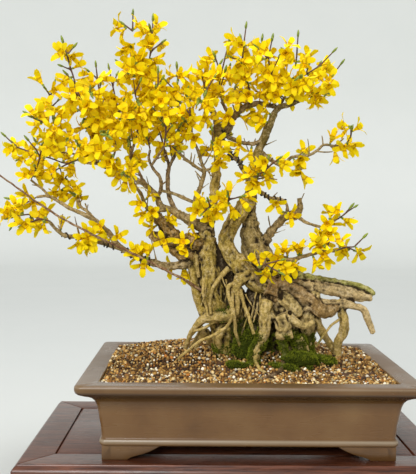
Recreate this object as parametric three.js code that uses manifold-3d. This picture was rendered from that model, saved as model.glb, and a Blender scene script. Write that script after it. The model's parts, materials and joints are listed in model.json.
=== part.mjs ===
// Forsythia bonsai in its pot on a wooden display stand. Millimetres, +Z up, +X right, +Y to the back.
import * as THREE from 'three';
import { mergeVertices } from 'three/addons/utils/BufferGeometryUtils.js';
import Module from 'manifold-3d';

// Clearances
const GAP = 0.3;

// Pot: rim outside, height, and the heights of its foot and floor
const POT_WIDTH = 500;
const POT_DEPTH = 350;
const POT_HEIGHT = 115;
const POT_CORNER = 10;
const CORNER_STEPS = 2;
const FOOT_HEIGHT = 20;
const FLOOR_TOP = 30;
const FOOT_REACH = 38;
const FOOT_SWEEP = 46;
const FOOT_THICKNESS = 14;
const BODY_INSET = 35;
const DRAIN_RADIUS = 12;
const DRAIN_SPACING = 220;

// Soil: level at the wall, mound under the tree, and the plain hole that the root ball stands in
const SOIL_LEVEL = 108;
const MOUND_HEIGHT = 25;
const MOUND_X = -8;
const MOUND_Y = 60;
const MOUND_RADIUS_X = 195;
const MOUND_RADIUS_Y = 100;
const GRAIN_RELIEF = 1.4;
const PIT = { x: 14, y: 4, radiusX: 72, radiusY: 42, bottom: 60 };

// Stand: top frame, panel, aprons and legs
const STAND_WIDTH = 628;
const STAND_DEPTH = 342;
const STAND_X = -18;
const STAND_Y = 13;
const STAND_HEIGHT = 76;
const RAIL_WIDTH = 46;
const RAIL_THICKNESS = 26;
const NOSING = 7;
const PANEL_THICKNESS = 12;
const PANEL_BEVEL = 5;
const LEG_SIZE = 34;
const LEG_INSET = 12;
const APRON_HEIGHT = 22;
const APRON_THICKNESS = 16;

// Flower: four petals, real reach of a petal from the flower's middle, and its neck
const PETAL_REACH = 17;
const NOTCH_REACH = 6.4;
const NECK = 10;
const PETAL_LIFT = 1.6;
const THROAT_LIFT = 2.4;
const KIN_CLOSENESS = 0.96;

// Shoots: spacing of the nodes, half a node's length, side shoots, the bare length at a long shoot's tip,
// and the share of their length that side shoots lose towards that tip
const SHOOT_RADIUS = 1.4;
const NODE_STEP = 12;
const NODE_HALF = 1.5;
const SIDE_EVERY = 2;
const BARE_TIP = 18;
const SIDE_TAPER = 0.5;
const TRIES = 12;

// The eye that the branch points below are given from: place, turn, focal length and middle of the view
const EYE = new THREE.Vector3(-78, -1198, 367);
const EYE_TURN = new THREE.Euler(
  THREE.MathUtils.degToRad(-2.3), THREE.MathUtils.degToRad(-0.6), THREE.MathUtils.degToRad(-0.8), 'ZXY');
const EYE_FOCAL = 740;
const EYE_MIDDLE = [208, 237];

// Every limb and root: sides, then points of view column, view row, depth in mm and radius in mm
const LIMBS = {
  // trunks and the gnarled base
  heart: [6, [240, 362, 22, 32], [238, 335, 20, 29], [234, 316, 18, 27], [230, 299, 16, 25],
    [226, 282, 12, 21], [222, 265, 10, 16], [218, 250, 8, 12]],
  heart_right: [6, [263, 362, 26, 27], [262, 335, 24, 26], [261, 316, 20, 25], [260, 300, 16, 23],
    [262, 284, 12, 20]],
  trunk_left: [7, [229, 362, 12, 24], [223, 330, 10, 20], [217, 308, 4, 19], [212, 286, -3, 18.5],
    [209, 264, -3, 15.5], [208, 247, 2, 13.5], [207, 232, 4, 12], [209, 219, 4, 10.5], [213, 204, 3, 7.5],
    [214, 190, 2, 6.5], [216, 177, 0, 7.8], [217, 162, 0, 6], [218, 148, -2, 6.8], [218, 134, -2, 8],
    [216, 120, 0, 5], [213, 109, 2, 3], [208, 100, 4, 2.2]],
  trunk_left_ridge: [5, [208, 322, -12, 8], [201, 309, -7, 6.6], [196, 292, -4, 6.6], [194, 276, -2, 7.4],
    [193, 260, 2, 10]],
  stump_left: [6, [208, 244, 6, 15], [196, 244, 8, 18], [183, 244, 8, 18], [171, 241, 6, 15.5],
    [161, 238, 5, 12], [153, 236, 4, 8]],
  stump_knob: [5, [176, 238, 7, 13], [166, 228, 6, 11], [158, 218, 4, 9], [154, 212, 3, 6]],
  stump_under: [5, [206, 268, 4, 12], [193, 258, 4, 12], [180, 254, 4, 9.5], [170, 246, 4, 8]],
  trunk_middle: [7, [284, 292, 0, 19], [270, 287, -4, 17.5], [256, 281, -8, 16.5], [245, 272, -12, 15.5],
    [237, 262, -13, 14.5], [230, 253, -12, 13.5], [226, 245, -10, 13], [227, 235, -8, 12.5],
    [233, 223, -4, 12.5], [240, 212, 0, 12.5], [248, 200, 4, 12.5], [252, 188, 4, 9.5], [251, 176, 2, 8],
    [255, 161, 0, 7], [260, 147, 0, 7], [267, 132, 0, 7], [272, 120, 0, 6], [278, 108, 2, 5],
    [290, 104, 4, 4], [302, 100, 6, 3]],
  knee: [5, [246, 274, -16, 13], [240, 281, -23, 10], [235, 289, -27, 7]],
  dead_cone: [6, [272, 292, 10, 24], [265, 272, 14, 24], [258, 255, 16, 22.5], [253, 241, 18, 19.5],
    [250, 227, 18, 15], [250, 214, 16, 11], [251, 203, 12, 8]],
  base_right: [6, [292, 363, 22, 25], [289, 336, 17, 21], [286, 319, 8, 21], [281, 304, 2, 20],
    [274, 291, 0, 20], [266, 278, 4, 18]],
  burl_right: [5, [306, 363, 20, 15], [306, 346, 17, 13], [307, 330, 10, 14], [309, 312, 4, 15],
    [313, 298, -2, 13]],
  burl_flow: [5, [276, 283, -10, 12], [290, 289, -12, 12], [303, 296, -12, 11], [313, 303, -10, 10]],
  burl_knob: [5, [313, 302, -8, 12], [320, 310, -12, 12.5], [329, 311, -12, 11], [335, 307, -9, 7]],
  burl_wound: [6, [271, 295, -16, 12.5], [273, 286, -13, 13]],
  burl_high: [5, [284, 297, -13, 13], [290, 304, -13, 13], [297, 311, -12, 10]],
  burl_low: [5, [280, 314, -22, 13], [283, 325, -22, 13.5]],
  burl_foot: [5, [291, 333, -18, 10], [281, 335, -22, 9]],
  burl_lip: [5, [289, 317, -23, 8], [297, 323, -26, 6.4], [306, 326, -27, 5.4], [313, 322, -22, 4]],
  burl_shoulder: [5, [264, 308, -20, 10], [270, 317, -22, 9]],
  burl_toe: [5, [297, 338, -8, 11], [303, 351, -3, 10], [305, 363, 0, 10]],
  // weathered deadwood slab to the right, with the bare roots that hang from it
  slab_top: [5, [266, 268, 14, 12], [288, 274, 12, 11], [308, 279, 9, 9], [326, 282, 7, 8],
    [340, 283, 6, 6.6], [354, 285, 5, 6], [366, 289, 5, 5.6], [374, 294, 4, 4.4]],
  slab_middle: [5, [262, 284, 6, 16], [284, 287, 6, 17], [304, 287, 3, 14], [320, 287, 2, 10],
    [334, 290, 1, 10], [348, 293, 0, 9.6], [360, 296, 0, 8.6], [369, 298, 0, 6]],
  slab_low: [5, [268, 300, 0, 16], [288, 302, -3, 14], [306, 304, -4, 13], [322, 305, -5, 10],
    [335, 305, -5, 9], [344, 304, -5, 7.4], [354, 306, -6, 6.6], [363, 309, -7, 6], [367, 317, -10, 5.6],
    [370, 325, -12, 5.2], [373, 333, -14, 4.4]],
  root_right_leg: [5, [338, 303, -4, 7.5], [342, 312, -4, 7.5], [344, 324, -2, 7.8], [343, 334, 2, 7.4],
    [338, 342, 8, 6.8], [338, 351, 14, 6.4], [337, 361, 16, 6.8]],
  root_right_back: [4, [314, 316, 0, 8], [320, 328, 10, 7], [326, 338, 18, 6.4], [333, 348, 26, 6],
    [337, 357, 30, 6.4]],
  root_right_thin: [3, [340, 319, -5, 2.4], [329, 328, -6, 2], [316, 347, -2, 1.8]],
  // roots at the front, the left and the back
  root_centre: [5, [266, 300, -22, 10], [265, 314, -25, 9.4], [265, 328, -27, 9.2], [261, 341, -28, 8],
    [255, 352, -28, 8.4], [253, 363, -28, 9]],
  root_centre_tip: [3, [254, 356, -30, 4.4], [256, 364, -40, 2.8], [260, 369, -51, 2.4],
    [266, 373, -62, 2.2]],
  root_front_arc: [4, [281, 341, -20, 5], [285, 353, -24, 4.4], [284, 361, -30, 4], [281, 370, -55, 3.8],
    [270, 377, -82, 3.2], [257, 380, -98, 2.6]],
  root_arch: [6, [238, 315, -8, 11], [227, 316, -14, 10], [214, 317, -16, 9], [203, 320, -12, 7.6],
    [196, 327, -4, 5.4], [190, 336, 8, 4.2], [186, 346, 22, 3.6], [185, 354, 28, 3.8]],
  root_arch_under: [3, [194, 331, -6, 2.6], [204, 328, -14, 2.4], [215, 321, -18, 2.8]],
  root_long: [3, [233, 290, -26, 3.4], [232, 300, -32, 3], [233, 312, -36, 2.8], [228, 325, -38, 2.6],
    [216, 334, -38, 2.6], [200, 341, -34, 2.4], [188, 351, -26, 2.2], [179, 358, -19, 2.2],
    [175, 363, -16, 2.4]],
  root_knee: [4, [236, 290, -27, 5], [238, 302, -28, 4.2], [237, 314, -26, 3.6]],
  root_hanging_left: [3, [234, 284, -25, 4.4], [228, 287, -29, 3.6], [229, 297, -32, 3.2],
    [233, 310, -36, 3], [235, 324, -34, 2.8], [237, 338, -28, 2.6], [243, 352, -14, 2.4],
    [245, 360, -12, 2.6]],
  root_hanging_right: [3, [240, 289, -25, 4], [244, 304, -32, 3], [250, 321, -36, 2.8],
    [254, 334, -40, 2.6]],
  root_inner_high: [3, [196, 256, -6, 4.4], [197, 266, -14, 3], [199, 277, -12, 3]],
  root_inner: [3, [229, 268, -10, 5.4], [220, 277, -20, 3.6], [213, 288, -24, 3], [210, 300, -24, 2.6],
    [211, 314, -24, 2.6]],
  root_inner_left: [3, [205, 279, -15, 3], [203, 292, -20, 2.2], [206, 305, -19, 2.2],
    [208, 316, -22, 2.6]],
  root_left_back: [5, [206, 330, 14, 10], [198, 340, 24, 7], [190, 354, 34, 5.6]],
  root_cut: [5, [222, 328, -8, 8], [218, 339, -10, 6.2], [220, 349, -5, 5.6], [221, 357, -2, 5.6]],
  root_back: [5, [246, 318, 34, 16], [254, 332, 50, 11], [262, 353, 66, 8.4]],
  root_back_left: [5, [226, 322, 30, 14], [216, 334, 46, 9], [206, 354, 60, 6.4]],
  // low left limbs
  limb_low: [6, [196, 261, 2, 9.5], [186, 264, 0, 7.6], [175, 266, -2, 6.4], [163, 265, -4, 5.8],
    [150, 262, -6, 5.4], [140, 258, -8, 5], [129, 253, -9, 4.8], [119, 246, -9, 4.6], [110, 234, -6, 4.2],
    [100, 224, -2, 3.9], [89, 217, 4, 3.6], [78, 212, 9, 3.3], [66, 206, 14, 3], [55, 199, 20, 2.7],
    [46, 196, 24, 2.5], [37, 197, 27, 2.2]],
  limb_low_tip: [3, [50, 197, 22, 2.2], [41, 188, 30, 2], [31, 180, 38, 1.8]],
  limb_low_front: [4, [123, 249, -10, 4], [112, 246, -18, 3.8], [100, 242, -26, 3.6], [88, 238, -33, 3.4],
    [76, 237, -39, 3.2], [64, 235, -45, 3], [56, 229, -50, 2.7], [49, 221, -54, 2.4]],
  limb_low_rear: [3, [96, 221, 2, 2.8], [88, 212, 18, 2.6], [80, 206, 32, 2.4], [78, 198, 44, 2.2]],
  young_shoot: [3, [204, 292, -10, 2.4], [193, 285, -16, 2.2], [180, 277, -22, 2.1], [165, 270, -26, 2],
    [140, 257, -32, 1.9], [115, 245, -38, 1.8], [90, 233, -62, 1.7], [60, 217, -72, 1.6], [30, 197, -78, 1.5],
    [-4, 172, -84, 1.2]],
  // left limbs of the crown
  limb_left: [6, [212, 230, 4, 11.5], [201, 226, 1, 9.6], [190, 221, -2, 8], [180, 215, -4, 6.6],
    [171, 210, -6, 5.6], [161, 206, -6, 5.4], [157, 197, -3, 4.8], [149, 188, 2, 4.3], [139, 181, 8, 4],
    [129, 176, 14, 3.6], [118, 172, 20, 3.3], [109, 168, 25, 3], [99, 164, 30, 2.7], [88, 163, 34, 2.5],
    [78, 160, 38, 2.2]],
  limb_left_spur: [4, [166, 209, -6, 4.4], [150, 210, -12, 3.8], [145, 203, -16, 3.2], [141, 194, -20, 2.8],
    [136, 186, -26, 2.4], [130, 178, -36, 2]],
  crown_a: [3, [134, 178, 12, 2.8], [131, 166, 4, 2.5], [132, 152, -2, 2.2], [136, 138, -6, 2]],
  crown_b: [3, [118, 172, 20, 2.7], [112, 160, 26, 2.4], [107, 146, 32, 2.1]],
  crown_c: [3, [98, 164, 30, 2.4], [94, 152, 22, 2.2], [91, 140, 14, 1.9]],
  crown_d: [3, [86, 162, 34, 2], [76, 155, 28, 1.8], [66, 153, 27, 1.7], [58, 151, 28, 1.7]],
  crown_e: [3, [148, 188, 2, 3], [141, 176, 34, 2.4], [134, 162, 62, 2]],
  crown_f: [3, [110, 169, 24, 2.5], [101, 166, -2, 2.2], [90, 158, -28, 1.9]],
  crown_g: [3, [112, 160, 26, 2], [116, 148, 4, 1.9], [116, 138, -18, 1.8]],
  crown_h: [4, [178, 214, -4, 4.6], [172, 204, 0, 4.2], [168, 192, 4, 3.9], [168, 178, 8, 3.6],
    [169, 167, 10, 3.3], [167, 159, 16, 2.7], [165, 151, 22, 2.2]],
  crown_i: [3, [169, 167, 10, 3], [174, 157, 7, 2.8], [178, 147, 4, 2.6], [184, 134, 0, 2.4],
    [184, 122, -6, 2]],
  crown_j: [3, [157, 197, -3, 3.4], [161, 189, -12, 3.1], [160, 178, -20, 2.8], [153, 169, -28, 2.5],
    [149, 159, -34, 2.2], [150, 150, -38, 2]],
  crown_k: [3, [151, 166, -30, 2.2], [158, 156, -42, 2], [164, 146, -50, 1.8]],
  // pale forked limb between the crowns
  limb_pale: [4, [206, 214, 0, 6], [197, 204, -8, 4.6], [196, 197, -12, 4.2], [200, 188, -14, 3.8],
    [203, 178, -14, 3.4], [204, 170, -14, 3.2], [201, 160, -16, 2.6], [198, 150, -18, 2.4],
    [193, 141, -20, 2]],
  limb_pale_left: [3, [204, 172, -14, 2.8], [195, 166, -20, 2.6], [187, 160, -26, 2.3], [178, 152, -30, 2]],
  limb_pale_right: [3, [204, 171, -14, 2.6], [211, 168, -24, 2.2], [218, 160, -34, 2]],
  limb_cross: [3, [198, 203, -8, 3], [186, 199, -8, 2.7], [174, 194, -9, 2.5], [160, 190, -12, 2.4]],
  // right crown
  arc_left: [5, [219, 140, -2, 6.4], [228, 130, 0, 6], [233, 118, 2, 5.6], [241, 110, 4, 5],
    [250, 105, 5, 4.6], [262, 104, 5, 4.2], [276, 107, 3, 4]],
  crown_l: [3, [232, 119, 2, 3.4], [226, 110, -12, 2.6], [222, 102, -24, 2.2]],
  crown_m: [3, [240, 111, 4, 3], [238, 100, 24, 2.4], [236, 92, 40, 2]],
  crown_n: [3, [250, 105, 5, 3], [250, 96, -8, 2.4], [249, 88, -20, 2]],
  crown_o: [3, [264, 104, 5, 3], [267, 94, 14, 2.4], [267, 84, 24, 2]],
  crown_p: [3, [274, 108, 3, 3.2], [274, 96, -6, 2.6], [273, 86, -16, 2.2]],
  crown_q: [3, [278, 108, 2, 3], [284, 98, 26, 2.4], [288, 90, 44, 2]],
  crown_r: [3, [290, 104, 4, 2.8], [292, 95, -6, 2.3], [293, 88, -16, 2]],
  crown_s: [3, [214, 114, 2, 3.2], [208, 108, 18, 2.4], [204, 100, 30, 2]],
  crown_t: [3, [218, 134, -2, 3.6], [210, 126, -16, 2.6], [205, 118, -28, 2]],
  bridge: [4, [226, 136, -1, 4.2], [238, 141, -4, 3.2], [250, 144, -5, 3], [259, 142, -3, 3.4],
    [267, 138, -1, 3]],
  elbow: [4, [220, 138, -3, 5], [228, 148, -8, 3.6], [231, 156, -10, 3.4], [239, 161, -9, 3.4],
    [243, 170, -6, 3.6], [250, 177, -1, 3.8]],
  // right limbs
  limb_right_high: [3, [260, 150, 0, 3.8], [268, 158, -4, 3.2], [276, 163, -8, 3], [284, 167, -10, 2.8],
    [289, 159, -12, 2.6], [297, 156, -14, 2.4], [309, 155, -16, 2.3], [318, 150, -18, 2.2],
    [323, 145, -20, 2.1], [334, 146, -22, 2], [343, 146, -24, 1.9]],
  limb_right_loop: [3, [284, 167, -10, 2.2], [293, 171, -14, 2], [302, 169, -18, 1.8]],
  limb_right_wired: [3, [254, 189, 3, 4], [262, 193, -2, 3], [270, 198, -6, 2.8], [280, 199, -10, 2.6],
    [286, 203, -12, 2.4], [288, 212, -10, 2.4]],
  limb_right_arm: [5, [262, 246, 12, 10], [270, 233, 8, 7.6], [278, 224, 4, 6.8], [286, 216, 0, 7],
    [296, 214, -4, 8], [300, 206, -6, 5], [299, 198, -6, 3.4]],
  limb_right_thin: [3, [296, 216, -4, 3.4], [306, 222, -8, 2.6], [316, 226, -12, 2.3], [324, 228, -16, 2.1],
    [330, 235, -20, 1.9]],
  limb_right_fork: [3, [322, 227, -15, 1.9], [329, 222, -20, 1.8], [336, 220, -25, 1.7]],
  limb_right_low: [4, [264, 266, 10, 9], [280, 259, -16, 5], [291, 260, -22, 3.8], [302, 257, -26, 3.2],
    [312, 254, -30, 2.8], [323, 251, -33, 2.5], [335, 251, -36, 2.2]],
  limb_front_short: [3, [250, 182, -2, 4], [256, 178, -22, 2.8], [260, 174, -40, 2.2]],
  spur_neck: [3, [213, 206, -2, 4], [210, 207, -20, 2.6], [209, 208, -32, 2.2]],
  spur_inner: [3, [236, 214, -6, 4.4], [231, 207, -22, 2.6], [228, 203, -34, 2.2]],
  spur_low: [3, [262, 286, -10, 7], [256, 277, -38, 3], [258, 272, -48, 2.4]],
};

// Each flowering shoot: its points from the limb's end to the tip, as column, row and depth
const SHOOTS = {
  crown_a: [[136, 138, -6], [141, 116, -8], [145, 92, -8], [149, 64, -6], [152, 40, -4], [153, 20, -4]],
  crown_b: [[107, 146, 32], [104, 124, 40], [101, 104, 46], [98, 84, 48], [96, 66, 48]],
  crown_c: [[91, 140, 14], [87, 122, 6], [81, 104, 0], [75, 82, -4], [69, 62, -6], [63, 42, -6]],
  crown_d: [[58, 151, 28], [51, 134, 20], [47, 116, 14], [50, 98, 10], [54, 84, 8]],
  limb_left: [[78, 160, 38], [66, 164, 48], [50, 158, 56], [34, 152, 58], [20, 150, 58], [5, 136, 56]],
  crown_e: [[134, 162, 62], [126, 138, 76], [119, 112, 82], [113, 88, 82], [109, 68, 78]],
  crown_f: [[90, 158, -28], [76, 146, -44], [62, 134, -54], [46, 124, -58], [28, 114, -58]],
  crown_g: [[116, 138, -18], [106, 124, -36], [93, 112, -46], [81, 98, -50], [72, 82, -50]],
  crown_h: [[165, 151, 22], [160, 134, 32], [156, 112, 38], [150, 90, 40], [142, 70, 38]],
  crown_i: [[184, 122, -6], [181, 110, -8], [179, 98, -8], [177, 68, -8]],
  crown_j: [[150, 150, -38], [146, 130, -50], [138, 108, -56], [133, 84, -56], [132, 54, -50],
    [133, 14, -46]],
  crown_k: [[164, 146, -50], [166, 130, -56], [164, 112, -60], [158, 92, -60], [158, 72, -56]],
  limb_left_spur: [[130, 178, -36], [120, 168, -54], [108, 156, -68], [96, 142, -74], [86, 128, -76]],
  limb_low: [[37, 197, 27], [28, 202, 28], [20, 204, 28], [10, 199, 26]],
  limb_low_tip: [[31, 180, 38], [37, 168, 30], [40, 158, 20], [36, 148, 12], [28, 140, 6]],
  limb_low_front: [[49, 221, -54], [38, 218, -40], [28, 214, -28], [18, 216, -20], [12, 226, -16]],
  limb_low_rear: [[78, 198, 44], [70, 188, 56], [62, 178, 64], [60, 168, 70]],
  limb_pale: [[193, 141, -20], [192, 128, -24], [190, 116, -26], [190, 100, -26]],
  limb_pale_left: [[178, 152, -30], [170, 144, -24], [168, 132, -18], [170, 118, -12], [172, 106, -8]],
  limb_pale_right: [[218, 160, -34], [214, 150, -44], [208, 142, -50], [212, 130, -52]],
  trunk_left: [[208, 100, 4], [204, 88, 6], [202, 76, 4], [208, 66, 2]],
  trunk_middle: [[302, 100, 6], [314, 94, 2], [325, 85, -6], [333, 76, -12], [341, 64, -14]],
  crown_l: [[222, 102, -24], [219, 86, -30], [222, 70, -32], [229, 42, -30]],
  crown_m: [[236, 92, 40], [232, 78, 50], [229, 66, 54], [226, 56, 54]],
  crown_n: [[249, 88, -20], [246, 72, -34], [242, 58, -38], [246, 27, -36]],
  crown_o: [[267, 84, 24], [262, 68, 34], [258, 52, 36], [262, 40, 34]],
  crown_p: [[273, 86, -16], [270, 70, -28], [268, 54, -32], [272, 40, -30]],
  crown_q: [[288, 90, 44], [297, 80, 52], [310, 72, 56], [323, 64, 54], [333, 52, 50]],
  crown_r: [[293, 88, -16], [298, 74, -32], [296, 58, -36], [298, 36, -32]],
  crown_s: [[204, 100, 30], [208, 86, 40], [214, 74, 44], [220, 64, 44]],
  crown_t: [[205, 118, -28], [202, 104, -42], [206, 90, -50], [214, 78, -52]],
  limb_right_high: [[343, 146, -24], [350, 140, -26], [352, 130, -28]],
  limb_right_thin: [[330, 235, -20], [329, 244, -26], [324, 250, -32]],
  limb_right_fork: [[336, 220, -25], [344, 215, -30], [350, 208, -34]],
  limb_right_low: [[335, 251, -36], [345, 247, -38], [354, 247, -40], [363, 238, -42]],
  limb_right_wired: [[288, 212, -10], [284, 212, -25]],
  limb_front_short: [[260, 174, -40], [266, 170, -54], [268, 160, -62]],
  spur_neck: [[209, 208, -32], [210, 206, -52], [208, 200, -66]],
  spur_inner: [[228, 203, -34], [229, 200, -52], [228, 194, -66]],
  spur_low: [[258, 272, -48], [263, 265, -58], [271, 262, -64], [281, 260, -66]],
};

// Training wire: the limb that it is wound on, its first and last point there, and its turns
const WIRES = {
  wire_low: { limb: 'limb_low', from: 3.8, to: 6.1, turns: 6 },
  wire_elbow: { limb: 'elbow', from: 1.2, to: 3.8, turns: 5 },
};
const WIRE_RADIUS = 1.2;

const COLOURS = {
  wood: 0x8a7350,
  spray: 0xf2c40c,
  soil: 0xa98a62,
  moss: 0x55701f,
  pot: 0x6e5338,
  stand: 0x7d4a3c,
  wire: 0x17150f,
};

const wasm = await Module();
wasm.setup();
const bonsai = new THREE.Group();

// Seeded draw between 0 and 1, the same on every run
let seed = 20;
function draw() {
  seed = (seed * 16807) % 2147483647;
  return seed / 2147483647;
}

function between(low, high) {
  return low + (high - low) * draw();
}

// A point of the tree from its view column, view row and depth
function place(column, row, depth) {
  const ray = new THREE.Vector3((column - EYE_MIDDLE[0]) / EYE_FOCAL, 1, (EYE_MIDDLE[1] - row) / EYE_FOCAL);
  ray.applyEuler(EYE_TURN);
  return EYE.clone().addScaledVector(ray, (depth - EYE.y) / ray.y);
}

function addMesh(name, geometry, colour, roughness) {
  const mesh = new THREE.Mesh(geometry, new THREE.MeshStandardMaterial({ color: colour, roughness }));
  mesh.name = name;
  bonsai.add(mesh);
  return mesh;
}

// A closed body through rings of equally many points, with a fan over each end
function loft(rings) {
  const count = rings[0].length;
  const points = rings.flat();
  const faces = [];
  for (let ring = 0; ring < rings.length - 1; ring += 1) {
    for (let side = 0; side < count; side += 1) {
      const a = ring * count + side;
      const b = ring * count + (side + 1) % count;
      faces.push(a, b, b + count, a, b + count, a + count);
    }
  }
  const last = (rings.length - 1) * count;
  for (let side = 1; side < count - 1; side += 1) {
    faces.push(0, side + 1, side);
    faces.push(last, last + side, last + side + 1);
  }
  const geometry = new THREE.BufferGeometry().setFromPoints(points);
  geometry.setIndex(faces);
  return geometry;
}

function toSolid(geometry) {
  const bare = geometry.clone();
  bare.deleteAttribute('normal');
  bare.deleteAttribute('uv');
  const merged = mergeVertices(bare, 1e-4);
  const vertProperties = new Float32Array(merged.attributes.position.array);
  const triVerts = new Uint32Array(merged.index.array);
  return new wasm.Manifold(new wasm.Mesh({ numProp: 3, vertProperties, triVerts }));
}

function toGeometry(solid) {
  const { vertProperties, triVerts } = solid.getMesh();
  const geometry = new THREE.BufferGeometry();
  geometry.setAttribute('position', new THREE.BufferAttribute(vertProperties, 3));
  geometry.setIndex(new THREE.BufferAttribute(triVerts, 1));
  return geometry;
}

function fuse(solids) {
  return solids.reduce((whole, solid) => whole.add(solid));
}

// The biggest body of a cut solid, without loose scraps
function biggest(solid) {
  return solid.decompose().sort((a, b) => b.volume() - a.volume())[0];
}

// Directions across a path at each of its points, carried along without twist
function framesAlong(points) {
  const frames = [];
  let across = new THREE.Vector3(0, 1, 0);
  points.forEach((point, index) => {
    const before = points[Math.max(index - 1, 0)];
    const after = points[Math.min(index + 1, points.length - 1)];
    const along = after.clone().sub(before).normalize();
    if (index === 0 && Math.abs(along.y) > 0.9) across = new THREE.Vector3(1, 0, 0);
    across = across.clone().addScaledVector(along, -across.dot(along)).normalize();
    frames.push({ along, across, up: along.clone().cross(across) });
  });
  return frames;
}

// A tube through points with a radius at each, fluted a little where flute is above zero
function tube(points, radii, sides, flute = 0) {
  const frames = framesAlong(points);
  const rings = points.map((point, index) => {
    const ring = [];
    for (let side = 0; side < sides; side += 1) {
      const angle = side * 2 * Math.PI / sides;
      const swell = 1 + flute * Math.sin(3 * angle + 1.7 * index) * Math.cos(1.3 * index + sides);
      ring.push(point.clone()
        .addScaledVector(frames[index].across, radii[index] * swell * Math.cos(angle))
        .addScaledVector(frames[index].up, radii[index] * swell * Math.sin(angle)));
    }
    return ring;
  });
  return loft(rings);
}

// Rounded rectangle at one height, inset from the pot's rim
function rectangleRing(inset, height) {
  const corner = Math.max(POT_CORNER - inset * 0.1, 6);
  const halfWidth = POT_WIDTH / 2 - inset - corner;
  const halfDepth = POT_DEPTH / 2 - inset - corner;
  const ring = [];
  [[1, 1, 0], [-1, 1, 1], [-1, -1, 2], [1, -1, 3]].forEach(([signX, signY, quarter]) => {
    for (let step = 0; step <= CORNER_STEPS; step += 1) {
      const angle = (quarter + step / CORNER_STEPS) * Math.PI / 2;
      ring.push(new THREE.Vector3(
        signX * halfWidth + corner * Math.cos(angle), signY * halfDepth + corner * Math.sin(angle), height));
    }
  });
  return ring;
}

// One bracket foot's board: upright part at the corner, swept up to the body
function footBoard() {
  const outline = new THREE.Shape();
  outline.moveTo(0, 0);
  outline.lineTo(FOOT_REACH, 0);
  const shoulder = FOOT_REACH + FOOT_SWEEP * 0.5;
  const end = FOOT_REACH + FOOT_SWEEP;
  outline.quadraticCurveTo(FOOT_REACH + 8, FOOT_HEIGHT * 0.35, shoulder, FOOT_HEIGHT * 0.45);
  outline.quadraticCurveTo(end - 5, FOOT_HEIGHT * 0.6, end, FOOT_HEIGHT);
  outline.lineTo(end, FOOT_HEIGHT + 1);
  outline.lineTo(0, FOOT_HEIGHT + 1);
  outline.closePath();
  return new THREE.ExtrudeGeometry(outline, { depth: FOOT_THICKNESS, bevelEnabled: false, curveSegments: 3 });
}

function makePot() {
  const outside = [
    [BODY_INSET + 2, FOOT_HEIGHT], [BODY_INSET - 2, FOOT_HEIGHT + 2], [BODY_INSET - 3, FOOT_HEIGHT + 6],
    [BODY_INSET - 2, FOOT_HEIGHT + 10], [BODY_INSET, FOOT_HEIGHT + 12], [34, 42], [32, 60], [29, 79],
    [25, 89], [17, 95], [8, 99.5], [2, 103], [0, 107], [0, 112.5], [2, POT_HEIGHT], [29, POT_HEIGHT],
  ];
  const inside = [
    [31, POT_HEIGHT + 1], [31, 110], [34, 97], [39, 84], [43, 66], [46, FLOOR_TOP],
  ];
  let pot = toSolid(loft(outside.map(([inset, height]) => rectangleRing(inset, height))));
  pot = pot.subtract(toSolid(loft(inside.map(([inset, height]) => rectangleRing(inset, height)).reverse())));
  const cornerX = POT_WIDTH / 2 - BODY_INSET - 1;
  const cornerY = POT_DEPTH / 2 - BODY_INSET - 1;
  [[1, 1], [-1, 1], [-1, -1], [1, -1]].forEach(([signX, signY]) => {
    const along = footBoard();
    along.rotateX(Math.PI / 2);
    along.translate(0, FOOT_THICKNESS, 0);
    const across = footBoard();
    across.rotateX(Math.PI / 2);
    across.rotateZ(Math.PI / 2);
    const corner = fuse([along, across].map(toSolid));
    const turned = corner.scale([signX < 0 ? 1 : -1, signY < 0 ? 1 : -1, 1]);
    pot = pot.add(turned.translate([signX * cornerX, signY * cornerY, 0]));
  });
  [-1, 1].forEach((sign) => {
    const drain = new THREE.CylinderGeometry(DRAIN_RADIUS, DRAIN_RADIUS, FLOOR_TOP, 12);
    drain.rotateX(Math.PI / 2);
    drain.translate(sign * DRAIN_SPACING / 2, 0, FLOOR_TOP / 2 + 10);
    pot = pot.subtract(toSolid(drain));
  });
  const geometry = toGeometry(pot);
  geometry.translate(0, 0, GAP);
  addMesh('pot', geometry, COLOURS.pot, 0.5);
}

// Height of the soil at a place, without the grains
function soilHeight(x, y) {
  const spread = ((x - MOUND_X) / MOUND_RADIUS_X) ** 4 + ((y - MOUND_Y) / MOUND_RADIUS_Y) ** 4;
  return SOIL_LEVEL + MOUND_HEIGHT * Math.exp(-spread);
}

// The soil's body with its grained top, raised by lift, and cut off below at bottom
function soilBody(lift, bottom) {
  const wall = 2 * GAP;
  const scales = [1, 0.93, 0.84, 0.74, 0.63, 0.52, 0.4, 0.28, 0.16, 0.06];
  const rings = [[46, bottom], [43, 66], [39, 84], [34, 97]]
    .map(([inset, height]) => rectangleRing(inset + wall, height));
  scales.forEach((scale, ring) => {
    rings.push(rectangleRing(33 + wall, 0).map((point, side) => {
      const x = point.x * scale;
      const y = point.y * scale;
      const grain = GRAIN_RELIEF * Math.sin(side * 7.1 + ring * 3.7) * Math.cos(side * 2.3 - ring * 5.9);
      return new THREE.Vector3(x, y, soilHeight(x, y) + (ring ? grain : 0) + lift);
    }));
  });
  return toSolid(loft(rings));
}

// Elliptic plug, used for the hole in the soil and for the root ball that stands in it
function pitPlug(shrink, top) {
  const height = top - PIT.bottom - shrink;
  const plug = new THREE.CylinderGeometry(1, 1, height, 20);
  plug.rotateX(Math.PI / 2);
  plug.scale(PIT.radiusX - shrink, PIT.radiusY - shrink, 1);
  plug.translate(PIT.x, PIT.y, top - height / 2);
  return toSolid(plug);
}

function makeSoil() {
  const soil = soilBody(0, FLOOR_TOP + 2 * GAP).subtract(pitPlug(0, POT_HEIGHT + 30));
  addMesh('soil', toGeometry(soil), COLOURS.soil, 0.95);
}

function limbPoints(name) {
  return LIMBS[name].slice(1).map(([column, row, depth]) => place(column, row, depth));
}

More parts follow.
